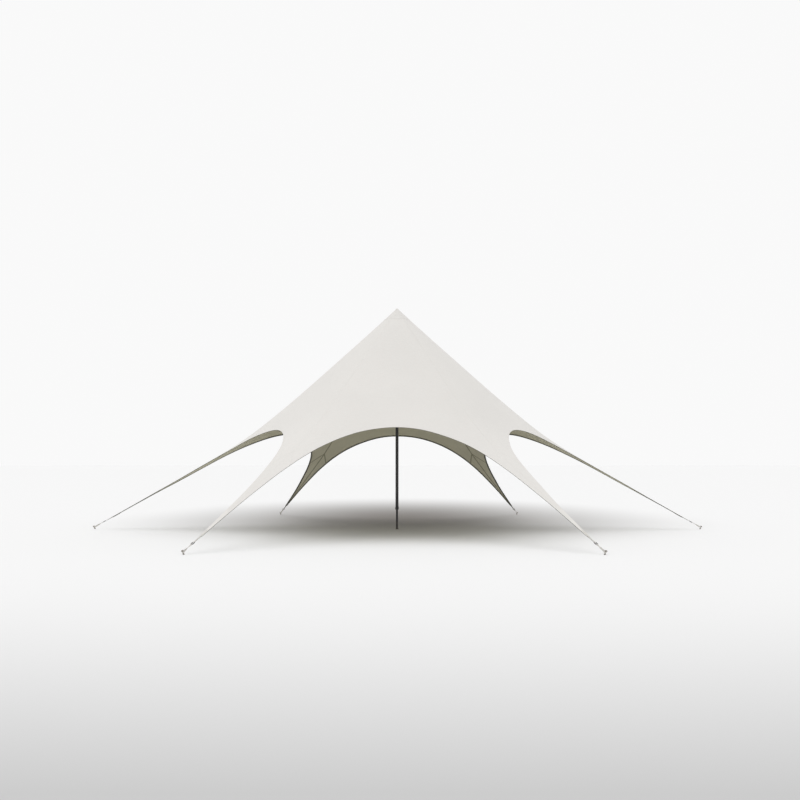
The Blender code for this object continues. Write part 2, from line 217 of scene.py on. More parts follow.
position = world_place(tree)
forward = axes(tree, position)["Y"]
nearness = node(tree, "MapRange", {0: forward, 1: FADE_START, 2: FADE_END}).outputs[0]
painted_falloff_share = calc(tree, "POWER", nearness, FADE_POWER)
shade = product(tree, painted_falloff_share, ramp(tree, forward, *FADE_GONE, 1.0, 0.0))
painted_falloff_colour = blend_colours(tree, shade, FLOOR_PALE, FLOOR_SHADED)
print(f"floor darkest {-FADE_END:.1f} m before the pole")

# %% [markdown]
# A wide soft pool of shade lies under the cloth and reaches further behind it. Most of it is
# paint too. It is an oval whose near half is shallower than its far half, warm grey in the
# middle, and it fades out smoothly.

# %% Pool of shade
POOL_CENTRE = (0.12, 3.4, 0.0)
POOL_HALF_WIDTH = 7.4
POOL_NEAR_DEPTH = 8.0
POOL_FAR_DEPTH = 14.5
POOL_COLOUR = (0.184, 0.169, 0.155, 1.0)

from_centre = node(tree, "VectorMath", {0: position, 1: POOL_CENTRE}, operation="SUBTRACT")
place = axes(tree, from_centre.outputs[0])
aside = calc(tree, "DIVIDE", place["X"], POOL_HALF_WIDTH)
nearer = calc(tree, "DIVIDE", place["Y"], -POOL_NEAR_DEPTH)
deep = calc(tree, "MAXIMUM", nearer, calc(tree, "DIVIDE", place["Y"], POOL_FAR_DEPTH))
squares = (calc(tree, "POWER", calc(tree, "ABSOLUTE", aside), 2.0), calc(tree, "POWER", deep, 2.0))
outwards = calc(tree, "SQRT", calc(tree, "ADD", *squares))
feed(tree, shader["Base Color"], blend_colours(tree, ramp(tree, outwards, 1.0, 0.0), painted_falloff_colour, POOL_COLOUR))
print(f"pool of shade {2 * POOL_HALF_WIDTH:.1f} m wide")

# %% [markdown]
# ## Soft light
#
# The light is a bright even sky with a very wide sun almost overhead, which keeps the cloth as
# evenly lit as it is in the photograph. The Light Path node shows the camera a plain backdrop,
# while everything else is lit by the sky.

# %% Sky and sun
BACKDROP = (0.95, 0.95, 0.95, 1.0)
SKY_AT_HORIZON = 0.85
SKY_OVERHEAD = 1.15
SUN_STRENGTH = 0.82
SUN_WIDTH = math.radians(75)
SUN_LEAN = (math.radians(4), math.radians(-9), 0.0)

world = bpy.data.worlds.new("studio")
bpy.context.scene.world = world
world.use_nodes = True
tree = world.node_tree
tree.nodes.clear()
upward = axes(tree, node(tree, "TexCoord").outputs["Generated"])["Z"]
sky = node(tree, "Background", {1: ramp(tree, upward, 0.0, 1.0, SKY_AT_HORIZON, SKY_OVERHEAD)})
backdrop = node(tree, "Background", {0: BACKDROP})
seen = node(tree, "LightPath").outputs["Is Camera Ray"]
studio = node(tree, "MixShader", {0: seen, 1: sky.outputs[0], 2: backdrop.outputs[0]})
node(tree, "OutputWorld", {0: studio.outputs[0]})

sun = add_object("sun", bpy.data.lights.new("sun", "SUN"))
sun.data.energy = SUN_STRENGTH
sun.data.angle = SUN_WIDTH
sun.rotation_euler = SUN_LEAN
bpy.context.scene.view_settings.view_transform = "Standard"
print(f"sun {math.degrees(SUN_WIDTH):.0f} degrees wide, sky and backdrop ready")

# %% [markdown]
# ## The stretched shape
#
# Taut cloth takes the only shape in which all its pulls balance. It could be modelled by eye
# or with the cloth simulator, but neither would land on the frame's own surface. The frame was
# found as a net of strings, each pulling in proportion to its length, so the same net is used
# here. Strings run down from the peak, round the pole, and along the cloth's edge.

# %% Net of strings
ARMS = 6
SECTOR = math.tau / ARMS
PEG_CIRCLE = 6.000
PEAK_HEIGHT = 4.368
RIM_RADIUS = 0.036               # of the hole at the peak
AIM_HEIGHT = 0.036               # of the point on the peg circle that an arm aims at
ROWS = 28
COLUMNS = 28
HOOP_TENSION = 0.124             # of strings round the pole, against those that run down
HOOP_RISE = 51.0                 # how much it grows towards the edge
HOOP_POWER = 9.5                 # how late it grows
EDGE_TENSION = 0.927             # of the edge's strings at the arms
EDGE_RISE = 2.6                  # how much it grows towards an arch's crown


def strings(row, column):
    """Neighbours of a knot, each with the tension of the string to it."""
    yield row - 1, column, 1.0
    if row < ROWS:
        yield row + 1, column, 1.0
    for side in (-1, 1):
        if row < ROWS:
            tension = HOOP_TENSION * (1 + HOOP_RISE * (row / ROWS) ** HOOP_POWER)
        else:
            from_crown = abs(2 * (column + side / 2) / COLUMNS - 1)
            tension = EDGE_TENSION * (1 + EDGE_RISE * (1 - from_crown))
        yield row, column + side, tension


print(f"{ROWS} rows of {COLUMNS} knots between two arms")

# %% [markdown]
# The balance is a plain set of linear equations, one for each knot, solved for one sixth of the
# canopy. A knot beyond a ridge is one of the sector's own knots, turned by one arm. With the
# plan written in complex numbers, that turn is a multiplication.

# %% Balance of the net
def stretch_sector():
    """Knots between arm 1 and arm 2, rows from the peak's rim outwards, both ridges included."""
    knots = ROWS * COLUMNS
    turn = cmath.exp(1j * SECTOR)
    rim = RIM_RADIUS * np.exp(1j * SECTOR * np.arange(COLUMNS) / COLUMNS)
    plan_matrix = np.zeros((knots, knots), complex)
    height_matrix = np.zeros((knots, knots))
    plan_pull = np.zeros(knots, complex)
    height_pull = np.zeros(knots)
    for row in range(1, ROWS + 1):
        for column in range(COLUMNS):
            knot = (row - 1) * COLUMNS + column
            if (row, column) == (ROWS, 0):
                plan_matrix[knot, knot] = height_matrix[knot, knot] = 1
                plan_pull[knot] = PEG_CIRCLE
                height_pull[knot] = AIM_HEIGHT
                continue
            for to_row, to_column, tension in strings(row, column):
                arms_past, to_column = divmod(to_column, COLUMNS)
                turned_by = turn ** arms_past
                plan_matrix[knot, knot] += tension
                height_matrix[knot, knot] += tension
                if to_row == 0:
                    plan_pull[knot] += tension * turned_by * rim[to_column]
                    height_pull[knot] += tension * PEAK_HEIGHT
                else:
                    other = (to_row - 1) * COLUMNS + to_column
                    plan_matrix[knot, other] -= tension * turned_by
                    height_matrix[knot, other] -= tension
    plan = np.vstack([rim, np.linalg.solve(plan_matrix, plan_pull).reshape(ROWS, COLUMNS)])
    height = np.linalg.solve(height_matrix, height_pull).reshape(ROWS, COLUMNS)
    height = np.vstack([np.full(COLUMNS, PEAK_HEIGHT), height])
    plan = np.hstack([plan, plan[:, :1] * turn])
    height = np.hstack([height, height[:, :1]])
    return np.stack([plan.real, plan.imag, height], axis=-1)


sector_knots = stretch_sector()
crown = sector_knots[-1, COLUMNS // 2]
print(f"arch crown {crown[2]:.2f} m high, {math.hypot(crown[0], crown[1]):.2f} m from the pole")

# %% [markdown]
# ## From knots to a smooth sheet
#
# The knots are far apart near the arms' tips and close together at the arches. A Subdivision
# Surface modifier would pull the sheet off its knots, so a smooth curve is run through them
# instead, first down the rows and then along the columns. Each knot's direction weighs its two
# neighbours by distance, which keeps uneven spacing from making bulges. Curves stop at the
# ridges, so each ridge keeps the slight crease that its seam gives it.

# %% Smooth curves through the knots
FINE_ROWS = 72
FINE_COLUMNS = 90


def even_places(ways, count):
    """Fractional knot places that split the longest of several chains into equal steps."""
    lengths = np.max([np.linalg.norm(np.diff(way, axis=0), axis=1) for way in ways], axis=0)
    reached = np.concatenate([[0.0], np.cumsum(lengths)])
    return np.interp(np.linspace(0, reached[-1], count + 1), reached, np.arange(len(reached)))


def refine(knots, places):
    """Smooth curves through knots along their first axis, read at fractional places."""
    steps = np.diff(knots, axis=0)
    lengths = np.linalg.norm(steps, axis=-1, keepdims=True)
    slopes = steps / lengths
    inner = lengths[:-1] * slopes[1:] + lengths[1:] * slopes[:-1]
    inner /= lengths[:-1] + lengths[1:]
    directions = np.concatenate([slopes[:1], inner, slopes[-1:]])
    first = np.minimum(places.astype(int), len(steps) - 1)
    t = (places - first).reshape(-1, *[1] * (knots.ndim - 1))
    start = knots[first] * (1 + 2 * t) + directions[first] * lengths[first] * t
    stop = knots[first + 1] * (3 - 2 * t) - directions[first + 1] * lengths[first] * (1 - t)
    return start * (1 - t) ** 2 + stop * t ** 2


row_places = even_places([sector_knots[:, 0], sector_knots[:, COLUMNS // 2]], FINE_ROWS)
column_places = even_places([sector_knots[ROWS], sector_knots[ROWS // 2]], FINE_COLUMNS)
smooth_rows = refine(sector_knots, row_places)
sector_sheet = refine(smooth_rows.swapaxes(0, 1), column_places).swapaxes(0, 1)
print(f"one sector: {sector_sheet.shape[0]} rows of {sector_sheet.shape[1]} points")

# %% [markdown]
# ## Folds of pull
#
# Real cloth is never a perfect surface. Pull gathers it into faint fans of folds that start at
# each arm and at the peak, and a slow unevenness runs through each panel. All of it is a few
# millimetres high. Sculpting would do it, but waves written as sums of cosines stay smooth,
# differ from arm to arm, and leave the peak and the tips where the frame holds them.

# %% Folds
FAN_DEPTH = 0.0042
FAN_SPACING = 0.15               # angle between two folds
FAN_SECOND_SPACING = 0.61 * FAN_SPACING
FAN_ORIGIN = 0.8                 # how far beyond the tip a fan's folds would meet
FAN_WIDTH = 0.34
FAN_REACH = ((0.9, 1.7), (4.6, 2.0))        # distances from the tip where it comes and goes
PEAK_FOLD_DEPTH = 0.0022
PEAK_FOLDS = 15
PEAK_FOLD_REACH = ((0.35, 0.7), (2.2, 0.9))
BILLOW_DEPTH = 0.0035
BILLOW_LENGTHS = (1.15, 1.6, 2.3)
BILLOW_REACH = ((0.35, 1.0), (5.2, 4.2))

chance = np.random.default_rng(24)


def turned_points(points, angle):
    """Points turned about the pole."""
    cosine, sine = math.cos(angle), math.sin(angle)
    return points @ np.array([[cosine, sine, 0], [-sine, cosine, 0], [0, 0, 1]])


def within(values, reach):
    """Share from 0 to 1 that comes smoothly between two values and goes between two others."""
    shares = 1.0
    for start, stop in reach:
        t = np.clip((values - start) / (stop - start), 0, 1)
        shares = shares * t * t * (3 - 2 * t)
    return shares


def fold_heights(points):
    """How far each point of the whole sheet stands off the smooth surface."""
    radius = np.hypot(points[..., 0], points[..., 1])
    bearing = np.arctan2(points[..., 1], points[..., 0])
    heights = PEAK_FOLD_DEPTH * np.cos(PEAK_FOLDS * bearing + np.sin(3 * bearing))
    heights *= within(radius, PEAK_FOLD_REACH)
    for arm in range(ARMS):
        local = turned_points(points, -arm * SECTOR)
        inwards = PEG_CIRCLE - local[..., 0]
        fan = local[..., 1] / (inwards + FAN_ORIGIN)
        waves = np.cos(math.tau * fan / FAN_SPACING + chance.uniform(0, math.tau))
        waves += 0.5 * np.cos(math.tau * fan / FAN_SECOND_SPACING + chance.uniform(0, math.tau))
        spread = np.exp(-(fan / FAN_WIDTH) ** 2) * (local[..., 0] > 0)
        heights += FAN_DEPTH * waves * within(inwards, FAN_REACH) * spread
    for length in BILLOW_LENGTHS:
        heading = chance.uniform(0, math.tau)
        along = points[..., 0] * math.cos(heading) + points[..., 1] * math.sin(heading)
        billow = np.cos(math.tau * along / length + chance.uniform(0, math.tau))
        heights += BILLOW_DEPTH / len(BILLOW_LENGTHS) * billow * within(radius, BILLOW_REACH)
    return heights


print(f"{ARMS} fans, {PEAK_FOLDS} folds at the peak and {len(BILLOW_LENGTHS)} slow waves")

# %% [markdown]
# The sector is repeated round the pole first. Then each point moves along the surface's own
# normal, so that a fold stands off the slope and not straight up.

# %% Folded sheet
def upward_normals(points):
    """Unit normals of a sheet that goes all the way round the pole."""
    sideways = np.roll(points, -1, axis=1) - np.roll(points, 1, axis=1)
    inner = np.concatenate([points[:1], points[:-1]])
    outer = np.concatenate([points[1:], points[-1:]])
    normals = np.cross(outer - inner, sideways)
    return normals / np.linalg.norm(normals, axis=-1, keepdims=True)


sectors = [turned_points(sector_sheet[:, :-1], arm * SECTOR) for arm in range(ARMS)]
whole_sheet = np.concatenate(sectors, axis=1)
folds = fold_heights(whole_sheet)
whole_sheet = whole_sheet + folds[..., None] * upward_normals(whole_sheet)
print(f"folds stand from {1000 * folds.min():.1f} to {1000 * folds.max():.1f} mm off the smooth surface")

# %% [markdown]
# ## One sheet round the pole
#
# The six gores and the arms beyond them are sewn into one sheet, so they are one mesh here. It
# is cut square at the end of each arm. The sheet also gets places on the cloth in metres,
# measured across and down the roll that each gore is cut from, so that threads run the way
# they would.

# %% Cloth mesh
CLOTH_END = 5.640
SHEET_COLUMNS = ARMS * FINE_COLUMNS


def on_arm(vector, arm):
    """A point or direction of arm 1, turned to another arm."""
    return Matrix.Rotation(arm * SECTOR, 3, "Z") @ Vector(vector)


def roll_places(points, gore):
    """Places across and down the cloth roll that a gore is cut from."""
    local = turned_points(points, -(gore + 0.5) * SECTOR)
    return np.stack([local[:, 1], np.hypot(local[:, 0], PEAK_HEIGHT - local[:, 2])], axis=-1)


def sheet_mesh(sheet):
    """Sheet round the pole, with its roll places, cut square at the end of each arm."""
    points = sheet.reshape(-1, 3)
    made = bmesh.new()
    verts = [made.verts.new(point) for point in points]
    layer = made.loops.layers.uv.new("UVMap")
    places = [roll_places(points, gore) for gore in range(ARMS)]
    for row in range(len(sheet) - 1):
        for column in range(SHEET_COLUMNS):
            after = (column + 1) % SHEET_COLUMNS
            corners = [row * SHEET_COLUMNS + column, (row + 1) * SHEET_COLUMNS + column,
                       (row + 1) * SHEET_COLUMNS + after, row * SHEET_COLUMNS + after]
            face = made.faces.new([verts[k] for k in corners])
            for loop, k in zip(face.loops, corners):
                loop[layer].uv = places[column // FINE_COLUMNS][k]
    for arm in range(ARMS):
        everything = made.verts[:] + made.edges[:] + made.faces[:]
        bmesh.ops.bisect_plane(made, geom=everything, dist=1e-6, plane_co=on_arm(arm_end, arm),
                               plane_no=on_arm(arm_line, arm), clear_outer=True)
    return made


arm_tip = Vector(sector_knots[-1, 0])
arm_line = (arm_tip - Vector(sector_knots[-2, 0])).normalized()
arm_end = arm_tip - arm_line * ((arm_tip.x - CLOTH_END) / arm_line.x)
canopy_mesh = sheet_mesh(whole_sheet)
cloth_tree = BVHTree.FromBMesh(canopy_mesh)
canopy_area = sum(face.calc_area() for face in canopy_mesh.faces)
print(f"{canopy_area:.2f} square metres of cloth in {len(canopy_mesh.faces)} faces")

# %% [markdown]
# The one piece stands for twelve of the frame's solids. A Solidify modifier gives it its
# thickness and a second face, because this cloth is pale outside and olive underneath.

# %% Canopy
CLOTH = 0.0012                   # thickness


def numbered(name):
    """Names of the six copies of a piece or solid."""
    return [f"{name}_{number + 1}" for number in range(ARMS)]


canopy = add_object("canopy_cloth", bpy.data.meshes.new("canopy_cloth"))
canopy_mesh.to_mesh(canopy.data)
canopy_mesh.free()
canopy.data.shade_smooth()
thickness = canopy.modifiers.new("thickness", "SOLIDIFY")
thickness.thickness = CLOTH
thickness.offset = 0.0
thickness.material_offset = 1
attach(canopy, "root")
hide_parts(*numbered("canopy_gore"), *numbered("arm_panel"))
print(f"cloth {1000 * CLOTH:.1f} mm thick, cut {CLOTH_END:.2f} m from the pole")

# %% [markdown]
# ## Effects that several finishes share
#
# Woven threads, an uneven tone, rows of stitches, dust from the ground, scratches and rubbed
# edges all turn up on more than one material. Each is built once as a node group with named
# inputs and outputs, and then placed with its own values. The groups give out only masks,
# heights and colours: the shader itself stays in each material.

# %% Group helpers
def new_group(name, inputs, outputs):
    """Empty node group with named sockets: its tree, what it is given and what it gives."""
    tree = bpy.data.node_groups.new(name, "ShaderNodeTree")
    for socket, (kind, value) in inputs.items():
        made = tree.interface.new_socket(socket, in_out="INPUT", socket_type="NodeSocket" + kind)
        if value is not None:
            made.default_value = value
    for socket, kind in outputs.items():
        tree.interface.new_socket(socket, in_out="OUTPUT", socket_type="NodeSocket" + kind)
    return tree, tree.nodes.new("NodeGroupInput").outputs, tree.nodes.new("NodeGroupOutput").inputs


def use(tree, group, **inputs):
    """Place a group with its own values, and return its outputs."""
    return node(tree, "Group", inputs, node_tree=group).outputs


def noise(tree, place, size, detail=2.0):
    """Cloudy value around a half, with patches of about the given size in metres."""
    inputs = {"Vector": place, "Scale": calc(tree, "DIVIDE", 1.0, size), "Detail": detail}
    return node(tree, "TexNoise", inputs).outputs[0]


print("group helpers ready")

# %% [markdown]
# A plain weave is a chequer of tiny pillows where one thread passes over another. The product
# of two sine waves draws it from places on the cloth, and a slant turns it into the diagonal
# ribs of webbing and tape. A second mask marks the gaps between threads, where the finishes
# paint shade.

# %% Woven threads
CLOTH_PITCH = 0.0007             # from one thread to the next

weave, given, gives = new_group(
    "woven_threads", {"Place": ("Vector", None), "Pitch": ("Float", CLOTH_PITCH), "Slant": ("Float", 0.0)},
    {"Height": "Float", "Gap shade": "Float"})
per_thread = calc(weave, "DIVIDE", math.pi, given["Pitch"])
turns = node(weave, "VectorMath", {0: given["Place"], 3: per_thread}, operation="SCALE")
thread = axes(weave, turns.outputs[0])
leaning = calc(weave, "MULTIPLY_ADD", thread["Y"], given["Slant"], thread["X"])
waves = [calc(weave, "ABSOLUTE", calc(weave, "SINE", angle)) for angle in (leaning, thread["Y"])]
pillow = product(weave, *waves)
feed(weave, gives["Height"], pillow)
# This mask is for painted shade in the gaps between threads.
feed(weave, gives["Gap shade"], calc(weave, "SUBTRACT", 1.0, calc(weave, "POWER", pillow, 0.4)))
print(f"woven threads {1000 * CLOTH_PITCH:.1f} mm apart on cloth")

# %% [markdown]
# No cloth or paint has one even colour. This group makes a colour a little lighter and darker
# in soft patches of any size.

# %% Uneven tone
tone, given, gives = new_group(
    "uneven_tone", {"Color": ("Color", None), "Place": ("Vector", None), "Patch": ("Float", 1.0),
                    "Amount": ("Float", 0.03)}, {"Color": "Color"})
cloud = noise(tone, given["Place"], given["Patch"], 3.0)
change = product(tone, calc(tone, "SUBTRACT", cloud, 0.5), product(tone, given["Amount"], 4.0))
brightness = calc(tone, "ADD", change, 1.0)
shaded = node(tone, "HueSaturation", {"Color": given["Color"], "Value": brightness})
feed(tone, gives["Color"], shaded.outputs[0])
print(f"uneven tone takes {len(tone.nodes)} nodes")

# %% [markdown]
# Dust and splashed soil gather on whatever is near the ground. The mask is strongest at the
# ground and fades out at a given reach, in ragged patches.

# %% Ground dust
dust, given, gives = new_group(
    "ground_dust", {"Reach": ("Float", 0.5), "Amount": ("Float", 0.5)}, {"Dust": "Float"})
position = world_place(dust)
near = ramp(dust, axes(dust, position)["Z"], given["Reach"], 0.0)
ragged = ramp(dust, noise(dust, position, 0.06, 4.0), 0.3, 0.7, 0.25, 1.0)
feed(dust, gives["Dust"], product(dust, near, ragged, given["Amount"]))
print(f"{len(bpy.data.node_groups)} shared effects so far")

# %% [markdown]
# ## The cloth's two finishes
#
# Outside, the cloth is coated polyester: off-white, matt, with a faint sheen at a low angle.
# Underneath, its coating is olive. One recipe makes both, with other colours. Real crumples
# smaller than the mesh can hold are added as bump, in metres, so that their depth stays true.

# %% Canopy materials
DUST_COLOUR = (0.36, 0.32, 0.26, 1.0)
# Painted shade: the dark colour mixed into the gaps between threads.
GAP_SHADE_COLOUR = (0.10, 0.10, 0.08, 1.0)         # between threads
OUTSIDE_COLOUR = (0.758, 0.738, 0.708, 1.0)
UNDERSIDE_COLOUR = (0.660, 0.636, 0.486, 1.0)
THREAD_RELIEF = 0.00006
CRUMPLE_SIZE = 0.11


def set_bump(tree, shader, height):
    """Let a height in metres tilt the surface's normal."""
    feed(tree, shader["Normal"], node(tree, "Bump", {"Height": height, "Distance": 1.0}).outputs[0])


def cloth_material(name, colour, roughness, sheen, crumple=0.0008):
    """Coated plain-weave cloth."""
    made, tree, shader = new_material(name, roughness, Sheen_Weight=sheen, Sheen_Roughness=0.45,
                                      Specular_IOR_Level=0.35)
    position = world_place(tree)
    threads = use(tree, weave, Place=node(tree, "UVMap").outputs[0], Pitch=CLOTH_PITCH, Slant=0.0)
    broad = use(tree, tone, Color=colour, Place=position, Patch=1.3, Amount=0.020)["Color"]
    toned = use(tree, tone, Color=broad, Place=position, Patch=0.05, Amount=0.012)["Color"]
    # Painted shade darkens the cloth in the gaps between threads.
    gap_shaded = blend_colours(tree, product(tree, threads["Gap shade"], 0.10), toned, GAP_SHADE_COLOUR)
    soiled = use(tree, dust, Reach=0.7, Amount=0.14)["Dust"]
    feed(tree, shader["Base Color"], blend_colours(tree, soiled, gap_shaded, DUST_COLOUR))
    feed(tree, shader["Roughness"], ramp(tree, threads["Height"], 0.0, 1.0, roughness + 0.1, roughness))
    creased = product(tree, noise(tree, position, CRUMPLE_SIZE, 3.0), crumple)
    set_bump(tree, shader, calc(tree, "MULTIPLY_ADD", threads["Height"], THREAD_RELIEF, creased))
    return made


canopy.data.materials.append(cloth_material("cloth_outside", OUTSIDE_COLOUR, 0.62, 0.12))
canopy.data.materials.append(cloth_material("cloth_underside", UNDERSIDE_COLOUR, 0.70, 0.05))
print("canopy has", [slot.name for slot in canopy.material_slots])

# %% [markdown]
# ## Rows of stitches
#
# Long seams have thousands of stitches, far too many to model from end to end. This group draws
# two rows of them from the places along and across a strip, as a mask for the thread's colour
# and a height for the bump. Stitches that a viewer can come close to are real geometry, later.

# %% Rows of stitches
STITCH_SPACING = 0.0045

sewing, given, gives = new_group(
    "sewn_rows", {"Place": ("Vector", None), "Row": ("Float", 0.010), "Stitch": ("Float", STITCH_SPACING)},
    {"Thread": "Float", "Height": "Float"})
strip_place = axes(sewing, given["Place"])
off_middle = calc(sewing, "ABSOLUTE", strip_place["Y"])
off_row = calc(sewing, "ABSOLUTE", calc(sewing, "SUBTRACT", off_middle, given["Row"]))
step = calc(sewing, "FRACT", calc(sewing, "DIVIDE", strip_place["X"], given["Stitch"]))
in_stitch = ramp(sewing, calc(sewing, "ABSOLUTE", calc(sewing, "SUBTRACT", step, 0.5)), 0.44, 0.34)
on_thread = product(sewing, ramp(sewing, off_row, 0.0007, 0.0004), in_stitch)
pulled_in = ramp(sewing, off_row, 0.0040, 0.0, 0.0, -0.5)
feed(sewing, gives["Thread"], on_thread)
feed(sewing, gives["Height"], calc(sewing, "ADD", on_thread, pulled_in))
print(f"a painted stitch every {1000 * STITCH_SPACING:.1f} mm")

# %% [markdown]
# Metal and paint wear where hands and ground rub them: on raised edges. The mesh's own
# pointiness finds those edges, and noise breaks the wear up.

# %% Worn edges
wear, given, gives = new_group(
    "worn_edges", {"Amount": ("Float", 0.5), "Patch": ("Float", 0.01)}, {"Worn": "Float"})
surface = node(wear, "NewGeometry").outputs
sharp = ramp(wear, surface["Pointiness"], 0.535, 0.600)
broken = ramp(wear, noise(wear, surface["Position"], given["Patch"], 5.0), 0.42, 0.62)
feed(wear, gives["Worn"], product(wear, sharp, broken, given["Amount"]))
print(f"worn edges take {len(wear.nodes)} nodes")

# %% [markdown]
# Fine scratches run along a part where it slides in another, so they are noise stretched along
# one direction, and they show only in some patches.

# %% Fine scratches
scratches, given, gives = new_group(
    "fine_scratches", {"Place": ("Vector", None), "Stretch": ("Vector", (1.0, 1.0, 0.04)),
                       "Amount": ("Float", 0.5)}, {"Scratch": "Float"})
drawn_out = node(scratches, "VectorMath", {0: given["Place"], 1: given["Stretch"]}, operation="MULTIPLY")
lines = ramp(scratches, noise(scratches, drawn_out.outputs[0], 0.0009, 1.0), 0.66, 0.74)
patches = ramp(scratches, noise(scratches, given["Place"], 0.05), 0.45, 0.60)
feed(scratches, gives["Scratch"], product(scratches, lines, patches, given["Amount"]))
print("shared effects:", ", ".join(sorted(group.name for group in bpy.data.node_groups)))

# %% [markdown]
# ## Finishes for strips, tapes and webbing
#
# A seam is a strip of the same cloth with two rows of stitches. Webbing and tape are thicker,
# with coarse diagonal ribs. The same recipe covers all of them: a tone, a weave of the right
# pitch, stitches where there are some, and the dust that lies near the ground.

# %% Strip materials
UNDER_TAPE_COLOUR = (0.330, 0.318, 0.215, 1.0)
HEM_COLOUR = (0.50, 0.485, 0.36, 1.0)
WEBBING_COLOUR = (0.078, 0.076, 0.054, 1.0)
TAPE_COLOUR = (0.700, 0.688, 0.655, 1.0)
THREAD_COLOUR = (0.700, 0.682, 0.650, 1.0)
OLIVE_THREAD = (0.24, 0.23, 0.16, 1.0)
WEBBING_THREAD = (0.14, 0.135, 0.10, 1.0)
TAPE_THREAD = (0.60, 0.59, 0.56, 1.0)
STITCH_RELIEF = 0.0003
RIB = 0.0005                     # relief of the ribs of webbing and tape


def strip_material(name, colour, thread_colour, row, pitch=CLOTH_PITCH, slant=0.0, rib=0.0001,
                   soil=0.16, gap_shade=0.10):
    """Cloth strip or webbing with two rows of stitches, each at a distance from its middle."""
    made, tree, shader = new_material(name, 0.72, Sheen_Weight=0.08, Specular_IOR_Level=0.35)
    place = node(tree, "UVMap").outputs[0]
    threads = use(tree, weave, Place=place, Pitch=pitch, Slant=slant)
    sewn = use(tree, sewing, Place=place, Row=row, Stitch=STITCH_SPACING)
    toned = use(tree, tone, Color=colour, Place=world_place(tree), Patch=0.09, Amount=0.030)["Color"]
    # Painted shade darkens the strip in the gaps between threads, more on webbing and tape.
    shadowed = blend_colours(tree, product(tree, threads["Gap shade"], gap_shade), toned, GAP_SHADE_COLOUR)
    stitched = blend_colours(tree, sewn["Thread"], shadowed, thread_colour)
    soiled = use(tree, dust, Reach=0.5, Amount=soil)["Dust"]
    feed(tree, shader["Base Color"], blend_colours(tree, soiled, stitched, DUST_COLOUR))
    feed(tree, shader["Roughness"], ramp(tree, threads["Height"], 0.0, 1.0, 0.85, 0.66))
    ribs = product(tree, threads["Height"], rib)
    set_bump(tree, shader, calc(tree, "MULTIPLY_ADD", sewn["Height"], STITCH_RELIEF, ribs))
    return made


seam_look = strip_material("seam_cloth", OUTSIDE_COLOUR, THREAD_COLOUR, row=0.010)
facing_look = strip_material("edge_facing_cloth", OUTSIDE_COLOUR, THREAD_COLOUR, row=0.0165)
under_tape_look = strip_material("olive_tape", UNDER_TAPE_COLOUR, OLIVE_THREAD, row=0.010, pitch=0.0012)
hem_look = strip_material("olive_hem", HEM_COLOUR, OLIVE_THREAD, row=0.019)
webbing_look = strip_material("edge_webbing", WEBBING_COLOUR, WEBBING_THREAD, row=0.0115, pitch=0.0016,
                              slant=1.0, rib=RIB, gap_shade=0.35)
tape_look = strip_material("corner_tape", TAPE_COLOUR, TAPE_THREAD, row=0.0, pitch=0.0015, slant=1.0,
                           rib=RIB, soil=0.40, gap_shade=0.25)
strip_looks = (seam_look, facing_look, under_tape_look, hem_look, webbing_look, tape_look)
print("strip finishes:", ", ".join(look.name for look in strip_looks))

# %% [markdown]
# ## Strips laid on the cloth
#
# Most pieces from here on are built the same way: rings of points in a row, with faces between
# each ring and the next. One helper makes those faces, and another turns a mesh under
# construction into a piece that rides on the frame.

# %% Rings and pieces
EDGE_ANGLE = 40                  # degrees between two faces, from which their edge looks sharp


def bridge(mesh, rings):
    """Faces between each ring of points and the next."""
    for one, other in zip(rings, rings[1:]):
        for k in range(len(one)):
            after = (k + 1) % len(one)
            mesh.faces.new([one[k], one[after], other[after], other[k]])


def skin_rings(mesh, rings, closed=False):
    """Faces between rings, with flat ends unless the last meets the first."""
    bridge(mesh, rings + rings[:1] if closed else rings)
    for ring in () if closed else (rings[0][::-1], rings[-1]):
        for k in range(len(ring) // 2 - 1):
            mesh.faces.new([ring[k], ring[k + 1], ring[-2 - k], ring[-1 - k]])


def finish_strip(mesh, places):
    """Give each corner its place along and across, and face all faces outwards."""
    layer = mesh.loops.layers.uv.new("UVMap")
    for face in mesh.faces:
        for loop in face.loops:
            loop[layer].uv = places[loop.vert]
    bmesh.ops.recalc_face_normals(mesh, faces=mesh.faces)


def new_piece(name, mesh, look, smooth=EDGE_ANGLE):
    """Object made from mesh data under construction, riding on the frame."""
    data = bpy.data.meshes.new(name)
    mesh.to_mesh(data)
    mesh.free()
    data.materials.append(look)
    data.shade_smooth()
    data.set_sharp_from_angle(angle=math.radians(smooth))
    made = add_object(name, data)
    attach(made, "root")
    return made


print("ring and piece helpers ready")

# %% [markdown]
# Seams, hems and webbing all follow the cloth. Bands drawn by eye would sink in and float, so
# each strip is laid: every point of it is first placed beside its line, then dropped onto the
# nearest point of the sheet and lifted off along the normal there. A strip is closed all round,
# because it is a real layer of cloth, and it is thinner at its borders, where it is stitched.

# %% Laid strips
BORDER = 0.0012                  # width of the thinner border
BORDER_SHARE = 0.35              # how thick it is, against the rest
EMBED = 0.0002                   # how far a strip reaches into what carries it


def flat_on_cloth(target):
    """Point of the sheet's middle surface next to a target, and the normal there."""
    near, normal, *_ = cloth_tree.find_nearest(target)
    return target - normal * (target - near).dot(normal), normal


